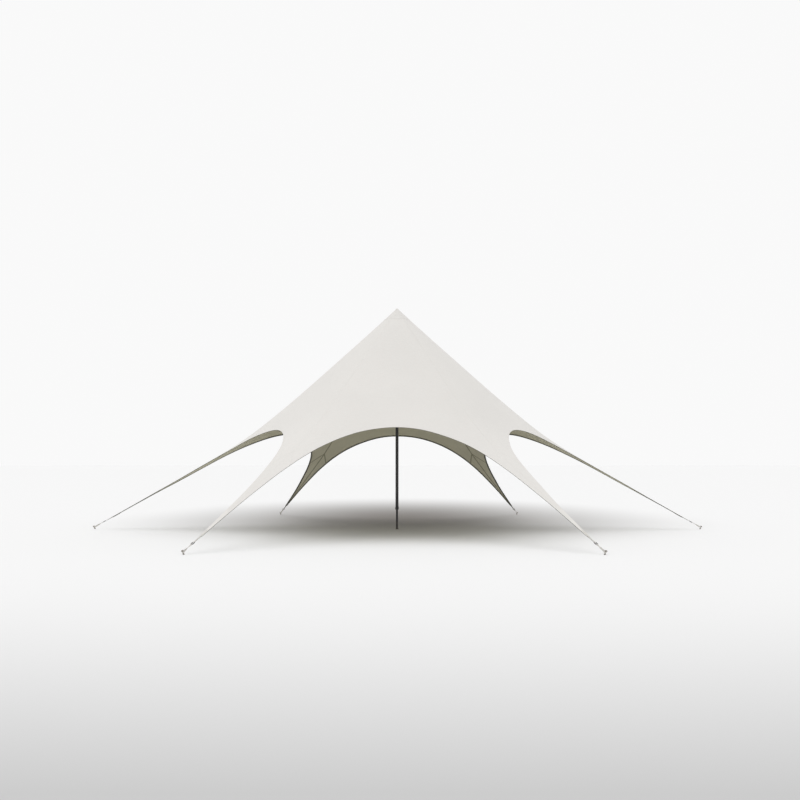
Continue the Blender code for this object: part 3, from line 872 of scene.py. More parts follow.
def laid_strip(mesh, places, stations, reaches, height, side=1, spans=3):
    """Add a strip that follows stations of a point and a direction across."""
    rings = []
    along = 0.0
    for number, ((point, across), (low, high)) in enumerate(zip(stations, reaches)):
        if number:
            along += (point - stations[number - 1][0]).length
        inner = [low + BORDER + (high - low - 2 * BORDER) * k / spans for k in range(spans + 1)]
        outline = [(low, BORDER_SHARE * height), *((place, height) for place in inner),
                   (high, BORDER_SHARE * height)]
        outline += [(place, -EMBED) for place, _ in outline[::-1]]
        ring = []
        for place, lift in outline:
            foot, normal = flat_on_cloth(point + across * place)
            ring.append(mesh.verts.new(foot + normal * side * (CLOTH / 2 + lift)))
            places[ring[-1]] = (along, place - (low + high) / 2)
        rings.append(ring)
    skin_rings(mesh, rings)


def strip_piece(name, look, strips):
    """Piece made of one or more laid strips, each a tuple of laid_strip's values."""
    mesh = bmesh.new()
    places = {}
    for strip in strips:
        laid_strip(mesh, places, *strip)
    finish_strip(mesh, places)
    return new_piece(name, mesh, look)


print(f"strips have borders {1000 * BORDER:.1f} mm wide")

# %% [markdown]
# ## Ridge seams
#
# The gores meet in a felled seam down each ridge, from the peak to the arm's end. Outside it
# shows as a flat band, and underneath an olive tape covers its raw edges. The strips take their
# stations from the sheet's own ridge points, so they bend exactly where the sheet bends.

# %% Ridge seams
SEAM_HALF_WIDTH = 0.013
SEAM_HEIGHT = 0.0011
UNDER_TAPE_HEIGHT = 0.0010
SEAM_START = 0.17                # radius, under the peak's cap


def across_arm(arm):
    """Direction across an arm."""
    return on_arm((0, 1, 0), arm)


def path_length(points):
    """Length of a path of points."""
    return sum((one - other).length for one, other in zip(points, points[1:]))


def clipped(points, arm, inset=0.001):
    """Path with what lies beyond an arm's cut end taken off."""
    line = on_arm(arm_line, arm)
    limit = line.dot(on_arm(arm_end, arm)) - inset
    kept = []
    for point, after in zip(points, points[1:] + [None]):
        inside = line.dot(point) <= limit
        if inside:
            kept.append(point)
        if after is not None and inside != (line.dot(after) <= limit):
            share = (limit - line.dot(point)) / line.dot(after - point)
            kept.append(point.lerp(after, share))
    return kept


def sew_seam(name, tape_name, paths, share=1.0):
    """Seam over each path of stations, and the olive tape under it."""
    for piece, look, height, side in ((name, seam_look, SEAM_HEIGHT, 1),
                                      (tape_name, under_tape_look, UNDER_TAPE_HEIGHT, -1)):
        strips = [(stations, [(-SEAM_HALF_WIDTH, SEAM_HALF_WIDTH)] * len(stations), share * height, side)
                  for stations in paths]
        strip_piece(piece, look, strips)


for arm in range(ARMS):
    ridge = [Vector(point) for point in whole_sheet[:, arm * FINE_COLUMNS]]
    ridge = clipped([point for point in ridge if point.xy.length > SEAM_START], arm)
    stations = [(point, across_arm(arm)) for point in ridge]
    sew_seam(f"ridge_seam_{arm + 1}", f"ridge_tape_{arm + 1}", [stations])
print(f"each ridge seam is {path_length(ridge):.2f} m long")

# %% [markdown]
# ## Seams where the arms begin
#
# A gore is as wide as its roll, and the arm beyond it is a second piece of cloth. The seam
# between them runs along the roll's border, so on each arm two short seams make a V that points
# to the pole. They are laid by looking straight down on the sheet.

# %% Arm seams
ARM_SEAM = ((3.412, 0.008), (3.762, 0.209))  # from beside the ridge to beside the edge
ARM_SEAM_STEPS = 8
ARM_SEAM_SHARE = 0.8             # of a ridge seam's height
DOWN = Vector((0, 0, -1))


def seam_stations(arm, side):
    """Stations along one leg of an arm's V."""
    start, stop = (on_arm((x, side * y, 0.0), arm) for x, y in ARM_SEAM)
    across = (stop - start).cross(DOWN).normalized()
    stations = []
    for step in range(ARM_SEAM_STEPS + 1):
        above = start.lerp(stop, step / ARM_SEAM_STEPS) - DOWN * PEAK_HEIGHT
        stations.append((cloth_tree.ray_cast(above, DOWN)[0], across))
    return stations


for arm in range(ARMS):
    legs = [seam_stations(arm, side) for side in (-1, 1)]
    sew_seam(f"arm_seam_{arm + 1}", f"arm_seam_tape_{arm + 1}", legs, ARM_SEAM_SHARE)
print(f"{2 * ARMS} arm seams")

# %% [markdown]
# ## The edge of each arch
#
# The edge carries the load from corner to corner. Outside, the cloth is turned in under a
# flat facing. Underneath is a hem, and on the hem a dark webbing in two layers that takes the
# pull and shows as a thin dark line from outside. All three narrow where an arm is narrower
# than they are.

# %% Arch edges
WEBBING_HEIGHT = 0.0056          # two layers, with the hem under them
# Name, finish, slot, width, height, side of the cloth, and how far it stands out past the edge
EDGE_LAYERS = (("edge_facing", facing_look, "canopy_cloth", 0.040, 0.0007, 1, 0.0002),
               ("edge_hem", hem_look, "canopy_cloth", 0.045, 0.0008, -1, 0.0002),
               ("edge_webbing", webbing_look, "arch_webbing", 0.030, WEBBING_HEIGHT, -1, 0.0016))
MIDDLE_GAP = 0.0005              # between a layer and its arm's middle


def arch_edge(arch):
    """Path along an arch's edge, from one arm's end to the next one's."""
    first = arch * FINE_COLUMNS
    edge = [Vector(whole_sheet[-1, (first + k) % SHEET_COLUMNS]) for k in range(FINE_COLUMNS + 1)]
    return clipped(clipped(edge, arch)[::-1], (arch + 1) % ARMS)[::-1]


def edge_stations(arch, edge):
    """Stations along an arch, with the direction into the cloth, and the room to the arm's middle."""
    stations = []
    rooms = []
    for number, point in enumerate(edge):
        ahead = edge[min(number + 1, len(edge) - 1)] - edge[max(number - 1, 0)]
        normal = cloth_tree.find_nearest(point)[1]
        stations.append((point, normal.cross(ahead).normalized()))
        rooms.append(min(abs(across_arm(arm).dot(point)) for arm in (arch, arch + 1)) - MIDDLE_GAP)
    return stations, rooms


for arch in range(ARMS):
    edge = arch_edge(arch)
    stations, rooms = edge_stations(arch, edge)
    for name, look, slot, width, height, side, overhang in EDGE_LAYERS:
        reaches = [(-overhang, min(width, room)) for room in rooms]
        strip_piece(f"{name}_{arch + 1}", look, [(stations, reaches, height, side)])
    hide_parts(f"arch_webbing_{arch + 1}")
print(f"each arch has {path_length(edge):.2f} m of edge")

# %% [markdown]
# ## Thread that can be touched
#
# Close to, a stitch is a short bar of thread that dips into the cloth at both ends. A bar of
# three rings of four points is enough for that, and thousands of them stay light. They follow
# any line of points that also has the surface's normal at each point.

# %% Stitches
THREAD_RADIUS = 0.00045
STITCH = 0.006                   # from one stitch to the next
STITCH_SHARE = 0.74              # of the way to the next stitch
STITCH_RINGS = ((-0.5, -0.9), (0.0, 0.5), (0.5, -0.9))  # place along it, and rise in radii
THREAD_SMOOTH = 80               # degrees, so that a thread looks round


def along_line(line, reached, distance):
    """Point, normal and direction of a line of points and normals, at a distance along it."""
    k = min(max(int(np.searchsorted(reached, distance)) - 1, 0), len(line) - 2)
    share = (distance - reached[k]) / (reached[k + 1] - reached[k])
    (start, normal), (stop, next_normal) = line[k:k + 2]
    direction = (stop - start).normalized()
    return start.lerp(stop, share), normal.lerp(next_normal, share).normalized(), direction


def stitch_mesh(lines):
    """Stitches along lines of points and normals."""
    mesh = bmesh.new()
    for line in lines:
        lengths = [(other[0] - one[0]).length for one, other in zip(line, line[1:])]
        reached = np.concatenate([[0.0], np.cumsum(lengths)])
        for number in range(int(reached[-1] / STITCH)):
            rings = []
            for end, rise in STITCH_RINGS:
                place = STITCH * (number + 0.5 + end * STITCH_SHARE)
                point, normal, direction = along_line(line, reached, place)
                beside = direction.cross(normal).normalized()
                centre = point + normal * THREAD_RADIUS * rise
                rings.append([mesh.verts.new(centre + spoke * THREAD_RADIUS)
                              for spoke in (beside, -normal, -beside, normal)])
            bridge(mesh, rings)
            mesh.faces.new(rings[0][::-1])
            mesh.faces.new(rings[-1])
    return mesh


print(f"a stitch is {1000 * STITCH * STITCH_SHARE:.1f} mm long")

# %% [markdown]
# Thread takes the tone of the cloth with a little more change in it, and it is rougher and
# smoother in turn where it twists.

# %% Thread finish
thread_look, tree, shader = new_material("sewing_thread", 0.6, Sheen_Weight=0.2)
position = world_place(tree)
toned = use(tree, tone, Color=THREAD_COLOUR, Place=position, Patch=0.01, Amount=0.05)["Color"]
feed(tree, shader["Base Color"], toned)
feed(tree, shader["Roughness"], ramp(tree, noise(tree, position, 0.0008), 0.3, 0.7, 0.5, 0.8))


def stitch_piece(name, lines):
    """Piece made of rows of stitches."""
    return new_piece(name, stitch_mesh(lines), thread_look, THREAD_SMOOTH)


print("thread finish:", thread_look.name)

# %% [markdown]
# ## Patches on the arms' ends
#
# All of an arm's pull ends in cloth narrower than a hand, so the maker strengthens it there with
# a patch on each face. A patch keeps just inside the arm's borders and has a round inner end,
# and stitches run round it.

# %% Corner patches
PATCH_LENGTH = 0.46
PATCH_STEPS = 16
PATCH_SPANS = 8
PATCH_INSET = 0.0025
PATCH_END_INSET = 0.003
PATCH_HEIGHT = 0.0018
ROUND_FROM = 0.85                # share of the length where the inner end starts to round
NARROWEST = 0.03                 # square of the inner end's width, against the rest
STITCH_INSET = 0.005
first_half = whole_sheet[-1, FINE_COLUMNS // 2::-1]


def ridge_point(arm, radius):
    """Point of an arm's ridge at a distance from the pole's axis."""
    ridge = whole_sheet[:, arm * FINE_COLUMNS]
    spokes = np.hypot(ridge[:, 0], ridge[:, 1])
    return Vector([np.interp(radius, spokes, ridge[:, axis]) for axis in range(3)])


def half_width(radius):
    """Half the width of an arm, where its middle is at a distance from the pole's axis."""
    return float(np.interp(radius, first_half[:, 0], first_half[:, 1]))


def patch_outline(arm):
    """Stations down the middle of a patch, and its reach to each side."""
    stations = []
    reaches = []
    for share in np.linspace(0, 1, PATCH_STEPS + 1):
        radius = CLOTH_END - PATCH_END_INSET - share * PATCH_LENGTH
        past = max(0.0, (share - ROUND_FROM) / (1 - ROUND_FROM))
        reach = (half_width(radius) - PATCH_INSET) * math.sqrt(max(NARROWEST, 1 - past ** 2))
        stations.append((ridge_point(arm, radius), across_arm(arm)))
        reaches.append((-reach, reach))
    return stations, reaches


print(f"arms end {2000 * half_width(CLOTH_END):.0f} mm wide")

# %% [markdown]
# Each patch's stitches run down one side and back up the other. The patch and its stitches are
# made twice, once for each face of the cloth.

# %% Patches and their stitches
for arm in range(ARMS):
    stations, reaches = patch_outline(arm)
    border = [(point, across, sign * (reach - STITCH_INSET)) for sign in (-1, 1)
              for (point, across), (_, reach) in list(zip(stations, reaches))[::-sign][:-1]]
    for name, look, side in (("outer", seam_look, 1), ("inner", under_tape_look, -1)):
        strip_piece(f"{name}_patch_{arm + 1}", look,
                                 [(stations, reaches, PATCH_HEIGHT, side, PATCH_SPANS)])
        line = []
        for point, across, offset in border:
            foot, normal = flat_on_cloth(point + across * offset)
            line.append((foot + side * normal * (CLOTH / 2 + PATCH_HEIGHT), side * normal))
        stitch_piece(f"{name}_patch_stitches_{arm + 1}", [line])
print(f"{2 * ARMS} patches, {1000 * PATCH_LENGTH:.0f} mm long")

# %% [markdown]
# ## Tapes swept along a path
#
# Beyond the cloth everything hangs on tapes that fold round metal. Bent cubes would show
# corners, so a flat section is swept along a smooth path. Each point of the path carries the
# direction that the tape's width lies in, and the path round a bar is a true arc.

# %% Swept tapes
TAPE_HALF_WIDTH = 0.0128
TAPE = 0.0018                    # thickness
LAYER_GAP = 0.0001
EYE_STEPS = 16
half_gap = TAPE / 2 + LAYER_GAP


def swept_tape(path, closed=False, half_width=TAPE_HALF_WIDTH, thick=TAPE):
    """Tape along a path of points, each with the direction that its width lies in."""
    mesh = bmesh.new()
    places = {}
    rings = []
    travelled = 0.0
    top = [(-half_width, BORDER_SHARE), (BORDER - half_width, 1), (half_width - BORDER, 1),
           (half_width, BORDER_SHARE)]
    section = top + [(place, -share) for place, share in top[::-1]]
    for number, (point, across) in enumerate(path):
        ahead = path[(number + 1) % len(path)] if closed or number + 1 < len(path) else path[number]
        behind = path[number - 1] if closed or number else path[number]
        if number:
            travelled += (point - path[number - 1][0]).length
        side = across.cross(ahead[0] - behind[0]).normalized()
        ring = []
        for place, share in section:
            ring.append(mesh.verts.new(point + across * place + side * share * thick / 2))
            places[ring[-1]] = (travelled, place)
        rings.append(ring)
    skin_rings(mesh, rings, closed)
    finish_strip(mesh, places)
    return mesh


def eye(bar_radius, meeting):
    """Places along and beside a tail, round an eye from one of the tail's layers to the other."""
    radius = bar_radius + LAYER_GAP + TAPE / 2
    start = math.atan2(half_gap, meeting) + math.acos(radius / math.hypot(meeting, half_gap))
    return [(radius * math.cos(angle), radius * math.sin(angle))
            for angle in np.linspace(start, math.tau - start, EYE_STEPS + 1)]


print(f"tape {2000 * TAPE_HALF_WIDTH:.0f} mm wide and {1000 * TAPE:.1f} mm thick")

# %% [markdown]
# All six corners are alike, so each of their pieces is made once, at arm 1, and placed six
# times. The copies share one mesh. A point near the corner is given by how far it lies from
# the end of the cloth along the arm's line, square to it and sideways.

# %% Six corners
SIDEWAYS = Vector((0.0, 1.0, 0.0))
SQUARE = arm_line.cross(SIDEWAYS)        # up from the arm's line


def on_corner(along, up, aside=0.0):
    """Point given from the end of arm 1's cloth, along its line, square to it and sideways."""
    return arm_end + arm_line * along + SQUARE * up + SIDEWAYS * aside


def place_six(name, mesh, look, replaced=None, smooth=EDGE_ANGLE):
    """Six copies of a piece made at arm 1, one for each arm."""
    copies = [new_piece(f"{name}_1", mesh, look, smooth)]
    for arm in range(1, ARMS):
        copy = add_object(f"{name}_{arm + 1}", copies[0].data)
        copy.rotation_euler.z = arm * SECTOR
        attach(copy, "root")
        copies.append(copy)
    if replaced:
        for copy, node_name in zip(copies, numbered(replaced)):
            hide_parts(node_name)


print(f"arms slope down by {math.degrees(math.asin(-arm_line.z)):.1f} degrees at their ends")

# %% [markdown]
# ## The tape that folds round each link
#
# A doubled tape holds the dark link. It starts sewn on top of the arm, folds round the link's
# inner bar, and comes back sewn underneath, where the edge webbing lies between it and the
# cloth. Beyond the cloth its two layers join.

# %% Corner tape
LINK_CENTRE = 0.185
LINK_LENGTH = 0.050
LINK_WIRE = 0.004
TAIL_STARTS = -0.17
TAIL_STOPS = -0.014              # last place where the tape still lies flat on the arm
JOIN_STARTS = 0.030
EYE_MEETS = 0.032                # from a link's bar to where the two layers meet
LAID_KNOTS = 8
FREE_KNOTS = 5
POINTS_A_KNOT = 3
inner_bar = LINK_CENTRE - LINK_LENGTH / 2


def on_tail(along, side, lift=0.0):
    """Point and normal of the tape where it lies on the arm's end, and below it the same."""
    foot, normal = flat_on_cloth(ridge_point(0, arm_end.x + arm_line.x * along))
    under = (PATCH_HEIGHT, WEBBING_HEIGHT)[side < 0] - EMBED
    return foot + side * normal * (CLOTH / 2 + under + TAPE / 2 + lift), side * normal


def layer_knots(side, lift=0.0, short=0.0):
    """Knots along one layer: flat on the arm's end, then free until the layers part."""
    laid = np.linspace(TAIL_STARTS + short, TAIL_STOPS, LAID_KNOTS)
    free = np.linspace(JOIN_STARTS, inner_bar - EYE_MEETS - short, FREE_KNOTS)
    return [on_tail(along, side, lift)[0] for along in laid] + [
        on_corner(along, side * (half_gap + lift)) for along in free]


def smooth_path(knots):
    """Path of a tape through its knots, with its width sideways."""
    points = refine(np.array(knots), np.linspace(0, len(knots) - 1, POINTS_A_KNOT * len(knots)))
    return [(Vector(point), SIDEWAYS) for point in points]


arc = [on_corner(inner_bar - along, up) for along, up in eye(LINK_WIRE, EYE_MEETS)]
corner_tape = swept_tape(smooth_path(layer_knots(1) + arc + layer_knots(-1)[::-1]))
place_six("corner_tape", corner_tape, tape_look, "corner_tongue")
print(f"tapes hold the links' inner bars {1000 * inner_bar:.0f} mm beyond the cloth")

# %% [markdown]
# Underneath, the two edge webbings meet at the arm's end. They carry the edges' pull, so they
# don't stop there: doubled, they run on under the tape nearly to the link. From the side they
# are the dark line that shows between the arm and its link.

# %% Webbing under the corner tape
TAIL_WEBBING = 0.0045            # both layers together
TAIL_WEBBING_HALF_WIDTH = 0.0108
TAIL_WEBBING_SHORT = 0.002       # how much it stops short of the tape at each end

under_depth = TAPE / 2 + TAIL_WEBBING / 2 - EMBED
webbing_path = smooth_path(layer_knots(-1, under_depth, TAIL_WEBBING_SHORT))
corner_webbing = swept_tape(webbing_path, half_width=TAIL_WEBBING_HALF_WIDTH, thick=TAIL_WEBBING)
place_six("corner_webbing", corner_webbing, webbing_look)
beyond = inner_bar - EYE_MEETS - TAIL_WEBBING_SHORT
print(f"webbing goes on for {1000 * beyond:.0f} mm beyond the cloth")

# %% [markdown]
# A tape that holds a load is sewn down with a box and a cross in it, once where it lies on the
# arm and once where its two layers join. The stitches lie on top, and on the webbing below.

# %% Boxes of stitches
BOX_HALF_WIDTH = 0.0095
# Where each box starts and stops along the arm's line
TAIL_BOX = (TAIL_STARTS + 0.006, -0.020)
JOINED_BOX = (0.060, inner_bar - EYE_MEETS - 0.004)
LINE_STEPS = 8                   # between two corners of a line that follows the arm
# From the tape's middle to the face that carries the thread, above and below
LIFTS = {1: TAPE / 2, -1: TAPE / 2 + TAIL_WEBBING - EMBED}


def box_and_cross(start, stop):
    """Corners of a sewn box with a cross in it, along and aside."""
    near_left, far_left = (start, -BOX_HALF_WIDTH), (stop, -BOX_HALF_WIDTH)
    near_right, far_right = (start, BOX_HALF_WIDTH), (stop, BOX_HALF_WIDTH)
    return [near_left, far_left, far_right, near_right, near_left, far_right, far_left, near_right]


def tail_line(side, lift):
    """Line of a sewn box over the tape's tail."""
    corners = box_and_cross(*TAIL_BOX)
    line = []
    for (along, aside), (next_along, next_aside) in zip(corners, corners[1:]):
        for share in np.linspace(0, 1, LINE_STEPS + 1)[:-1]:
            point, normal = on_tail(along + share * (next_along - along), side, lift)
            line.append((point + SIDEWAYS * (aside + share * (next_aside - aside)), normal))
    return line


def joined_line(side, lift):
    """Line of a sewn box over the two joined layers."""
    return [(on_corner(along, side * (half_gap + lift), aside), side * SQUARE)
            for along, aside in box_and_cross(*JOINED_BOX)]


lines = [way(side, lift) for way in (tail_line, joined_line) for side, lift in LIFTS.items()]
place_six("corner_tape_stitches", stitch_mesh(lines), thread_look, smooth=THREAD_SMOOTH)
print(f"{len(lines)} sewn boxes on each corner tape")

# %% [markdown]
# ## Metal finishes
#
# The links are black steel, the pegs weathered steel, and the pole is painted tube with cast
# fittings. One recipe makes them: a tone, scratches, edges worn to a lighter metal, and soil
# near the ground. What changes is how metallic and rough each is, and how much it has worn. The
# foot's rubber wears in the same places, so it is made this way too.

# %% Metal recipe
SCRATCH_DEPTH = 0.00003
GRAIN_SHARE = 0.04               # height of the grain, against its size


def grey(level):
    """Colour without a tint."""
    return (level, level, level, 1.0)


def metal_material(name, colour, worn_colour, roughness, metallic, worn, scratched, soil, grain):
    """Painted or bare metal with worn edges, scratches, soil and a fine grain in metres."""
    made, tree, shader = new_material(name, roughness, Metallic=metallic)
    place = node(tree, "TexCoord").outputs["Object"]
    toned = use(tree, tone, Color=colour, Place=place, Patch=0.04, Amount=0.06)["Color"]
    rubbed = use(tree, wear, Amount=worn, Patch=0.008)["Worn"]
    scored = use(tree, scratches, Place=place, Amount=scratched)["Scratch"]
    bare = calc(tree, "MAXIMUM", rubbed, scored)
    soiled = use(tree, dust, Reach=0.25, Amount=soil)["Dust"]
    painted = blend_colours(tree, bare, toned, worn_colour)
    feed(tree, shader["Base Color"], blend_colours(tree, soiled, painted, DUST_COLOUR))
    clouds = noise(tree, world_place(tree), 0.02, 4.0)
    rough = ramp(tree, clouds, 0.3, 0.7, roughness - 0.08, roughness + 0.10)
    feed(tree, shader["Roughness"], calc(tree, "MULTIPLY_ADD", soiled, 0.35, rough))
    peel = product(tree, noise(tree, place, grain), GRAIN_SHARE * grain)
    set_bump(tree, shader, calc(tree, "MULTIPLY_ADD", bare, -SCRATCH_DEPTH, peel))
    return made


link_look = metal_material(
    "black_link_steel", (0.022, 0.022, 0.023, 1.0), (0.20, 0.19, 0.18, 1.0), roughness=0.42,
    metallic=0.6, worn=0.5, scratched=0.3, soil=0.25, grain=0.0020)
peg_look = metal_material(
    "weathered_peg_steel", (0.290, 0.281, 0.266, 1.0), (0.46, 0.45, 0.43, 1.0), roughness=0.55,
    metallic=0.6, worn=0.8, scratched=0.4, soil=0.55, grain=0.0030)
paint_look = metal_material(
    "black_pole_paint", (0.026, 0.026, 0.028, 1.0), grey(0.22), roughness=0.40,
    metallic=0.0, worn=0.5, scratched=0.25, soil=0.30, grain=0.0012)
casting_look = metal_material(
    "black_casting", (0.030, 0.030, 0.031, 1.0), grey(0.16), roughness=0.52,
    metallic=0.2, worn=0.6, scratched=0.2, soil=0.30, grain=0.0022)
rubber_look = metal_material(
    "foot_rubber", grey(0.020), grey(0.06), roughness=0.80,
    metallic=0.0, worn=0.5, scratched=0.0, soil=0.60, grain=0.0030)
metal_looks = (link_look, peg_look, paint_look, casting_look, rubber_look)
print("metal finishes:", ", ".join(look.name for look in metal_looks))

# %% [markdown]
# ## Links
#
# Each link is round wire bent to a rounded rectangle and welded in the middle of one side, with
# a straight bar across its middle. A ring of circles follows the rectangle, and the circles
# swell a little where the weld is.

# %% Wire links
LINK_WIDTH = 0.046
LINK_CORNER = 0.010
WIRE_SIDES = 14
CORNER_STEPS = 6
SIDE_STEPS = 8
WELD = 0.0008                    # how far the weld stands proud
WELD_HALF_LENGTH = 0.004
BAR_RADIUS = 0.0038
BAR_STEPS = 8


def around(sides):
    """Angles of the points of a ring."""
    return [math.tau * k / sides for k in range(sides)]


def wire_ring(mesh, centre, one, other, radius):
    """Circle of points in the plane of two directions."""
    return [mesh.verts.new(centre + (one * math.cos(turn) + other * math.sin(turn)) * radius)
            for turn in around(WIRE_SIDES)]


straight_x, straight_y = LINK_LENGTH / 2 - LINK_CORNER, LINK_WIDTH / 2 - LINK_CORNER
loop = []
for quarter, (x_sign, y_sign) in enumerate(((1, 1), (-1, 1), (-1, -1), (1, -1))):
    for step in range(CORNER_STEPS + 1):
        angle = math.pi / 2 * (quarter + step / CORNER_STEPS)
        loop.append((x_sign * straight_x + LINK_CORNER * math.cos(angle),
                     y_sign * straight_y + LINK_CORNER * math.sin(angle)))
    x, y = loop[-1]
    to_x, to_y = ((-straight_x, y), (x, -straight_y), (straight_x, y), (x, straight_y))[quarter]
    for share in np.linspace(0, 1, SIDE_STEPS + 1)[1:-1]:
        loop.append((x + share * (to_x - x), y + share * (to_y - y)))

link = bmesh.new()
rings = []
centres = [on_corner(LINK_CENTRE + x, 0.0, y) for x, y in loop]
for number, (x, y) in enumerate(loop):
    swell = WELD * math.exp(-(x / WELD_HALF_LENGTH) ** 2) * (y > straight_y)
    ahead = (centres[(number + 1) % len(loop)] - centres[number - 1]).normalized()
    rings.append(wire_ring(link, centres[number], ahead.cross(SQUARE), SQUARE, LINK_WIRE + swell))
skin_rings(link, rings, closed=True)
skin_rings(link, [wire_ring(link, on_corner(LINK_CENTRE, 0.0, y), arm_line, SQUARE, BAR_RADIUS)
                  for y in np.linspace(-LINK_WIDTH / 2, LINK_WIDTH / 2, BAR_STEPS + 1)])
bmesh.ops.recalc_face_normals(link, faces=link.faces)
place_six("link_wire", link, link_look, "corner_link")
print(f"links of {2000 * LINK_WIRE:.0f} mm wire, {1000 * LINK_LENGTH:.0f} by {1000 * LINK_WIDTH:.0f} mm")

# %% [markdown]
# ## Ground straps
#
# From the link a taut tape goes on to the peg. It is one closed loop: round the link's outer
# bar, along both layers, and round the peg. The peg stands square to the tape and the bar lies
# flat, so both layers make a quarter turn on the way. The path therefore carries the direction
# of the tape's width at each point.

# %% Ground straps
PEG_RADIUS = 0.011
LINK_TAIL_SHARE = 0.25           # of the strap, before it starts to turn
PEG_TAIL_SHARE = 0.30            # of the strap, after it has turned
TURN_STEPS = 14

outer_bar = LINK_CENTRE + LINK_LENGTH / 2
peg_place = (PEG_CIRCLE - CLOTH_END) / arm_line.x
strap_length = peg_place - outer_bar
turn_start = LINK_TAIL_SHARE * strap_length
turn_stop = (1 - PEG_TAIL_SHARE) * strap_length


def strap_point(distance, beside):
    """Point beside the strap's middle, towards its upper face at the link, and its width's direction."""
    share = min(max((distance - turn_start) / (turn_stop - turn_start), 0.0), 1.0)
    across = Matrix.Rotation(share * math.pi / 2, 3, arm_line) @ SIDEWAYS
    return on_corner(outer_bar + distance, 0.0) + across.cross(arm_line) * beside, across


link_arc = eye(LINK_WIRE, turn_start)
peg_arc = eye(PEG_RADIUS, strap_length - turn_stop)
between = np.linspace(turn_start, turn_stop, TURN_STEPS + 1)
path = [strap_point(distance, half_gap) for distance in between]
path += [strap_point(strap_length - along, beside) for along, beside in peg_arc]
path += [strap_point(distance, -half_gap) for distance in between[::-1]]
path += [strap_point(along, beside) for along, beside in link_arc[::-1]]
place_six("ground_tape", swept_tape(path, closed=True), tape_look, "ground_strap")
print(f"straps {1000 * strap_length:.0f} mm long between link and peg")

# %% [markdown]
# The strap's two layers are sewn together at both ends, with the same box and cross as on the
# corner tape, on both faces.

# %% Stitches on the straps
BOX_INSET = 0.002                # between a box and where the strap turns
BOX_LENGTH = 0.026

boxes = ((turn_start + BOX_INSET, turn_start + BOX_INSET + BOX_LENGTH),
         (turn_stop - BOX_INSET - BOX_LENGTH, turn_stop - BOX_INSET))
lines = []
for start, stop in boxes:
    for side in (-1, 1):
        line = []
        for distance, aside in box_and_cross(start, stop):
            point, across = strap_point(distance, side * (half_gap + TAPE / 2))
            line.append((point + across * aside, side * across.cross(arm_line)))
        lines.append(line)
place_six("ground_tape_stitches", stitch_mesh(lines), thread_look, smooth=THREAD_SMOOTH)
print(f"{len(lines)} sewn boxes on each strap")

# %% [markdown]
# ## Pegs
#
# A peg is a steel stake with a head that hammering has spread a little. It leans away from the
# pole, square to its strap, and only what stands above the ground is modelled. It is turned
# from an outline, pushed out of round at the head, and cut level at the ground.

# %% Pegs
PEG_SIDES = 32
# Radius and height, measured from where the strap pulls
PEG_OUTLINE = ((0.0, -0.072), (0.011, -0.072), (0.011, 0.0150), (0.0122, 0.0185), (0.0168, 0.0200),
               (0.0186, 0.0215), (0.0190, 0.0245), (0.0184, 0.0278), (0.0166, 0.0295), (0.0100, 0.0299),
               (0.0, 0.0300))
HEAD_FROM = 0.018                # height where its head begins
OUT_OF_ROUND = 0.06


def polar(radius, angle, height):
    """Point at a radius, an angle about the vertical and a height."""
    return Vector((radius * math.cos(angle), radius * math.sin(angle), height))


def turned(outline, sides, wobble=0.0):
    """Skin turned about the vertical from an outline of radius and height, whose ends are closed."""
    mesh = bmesh.new()
    rings = []
    for radius, height in outline:
        ring = []
        for angle in around(sides) if radius else [0.0]:
            uneven = radius * (1 - wobble * (height > HEAD_FROM) * (0.5 + 0.5 * math.sin(3 * angle + 1.0)))
            ring.append(mesh.verts.new(polar(uneven, angle, height)))
        rings.append(ring)
    if len(rings[0]) > 1:
        rings.append(rings[0])
    for one, other in zip(rings, rings[1:]):
        for k in range(sides):
            corners = [ring[place % len(ring)] for ring, place in
                       ((one, k), (one, (k + 1) % sides), (other, (k + 1) % sides), (other, k))]
            mesh.faces.new(list(dict.fromkeys(corners)))
    bmesh.ops.recalc_face_normals(mesh, faces=mesh.faces)
    return mesh


peg = turned(PEG_OUTLINE, PEG_SIDES, OUT_OF_ROUND)
leaning = Vector((0, 0, 1)).rotation_difference(SQUARE).to_matrix().to_4x4()
bmesh.ops.transform(peg, matrix=Matrix.Translation(on_corner(peg_place, 0.0)) @ leaning, verts=peg.verts)
cut = bmesh.ops.bisect_plane(peg, geom=peg.verts[:] + peg.edges[:] + peg.faces[:], plane_co=(0, 0, 0),
                             plane_no=(0, 0, -1), clear_outer=True)["geom_cut"]
bmesh.ops.edgeloop_fill(peg, edges=[edge for edge in cut if isinstance(edge, bmesh.types.BMEdge)])
place_six("peg_stake", peg, peg_look, "peg")

# %% [markdown]
# ## The pole
#
# The pole is two painted tubes. The thin one reaches up into the thick one, and a clamped
# collar holds them. Modelling them as plain cylinders would leave sharp, perfect ends, so each
# is turned from an outline with small chamfers, inside the frame's own sizes. A ring just inside
# each chamfer keeps the flat wall's shading straight.

# %% Tubes
POLE_SIDES = 64
CHAMFER = 0.0012
# Piece, solid, radius and radius of its bore
TUBES = (("pole_tube", "pole_upper", 0.0300, 0.0275), ("foot_tube", "pole_lower", 0.0210, 0.0185))


def heights_of(solid):
    """Lowest and highest point of a solid."""
    return [corner[2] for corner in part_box(solid)]


def pole_piece(name, outline, look, solid=None):
    """Piece turned from an outline, which may take a solid's place."""
    made = new_piece(name, turned(outline, POLE_SIDES), look)
    if solid:
        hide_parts(solid)


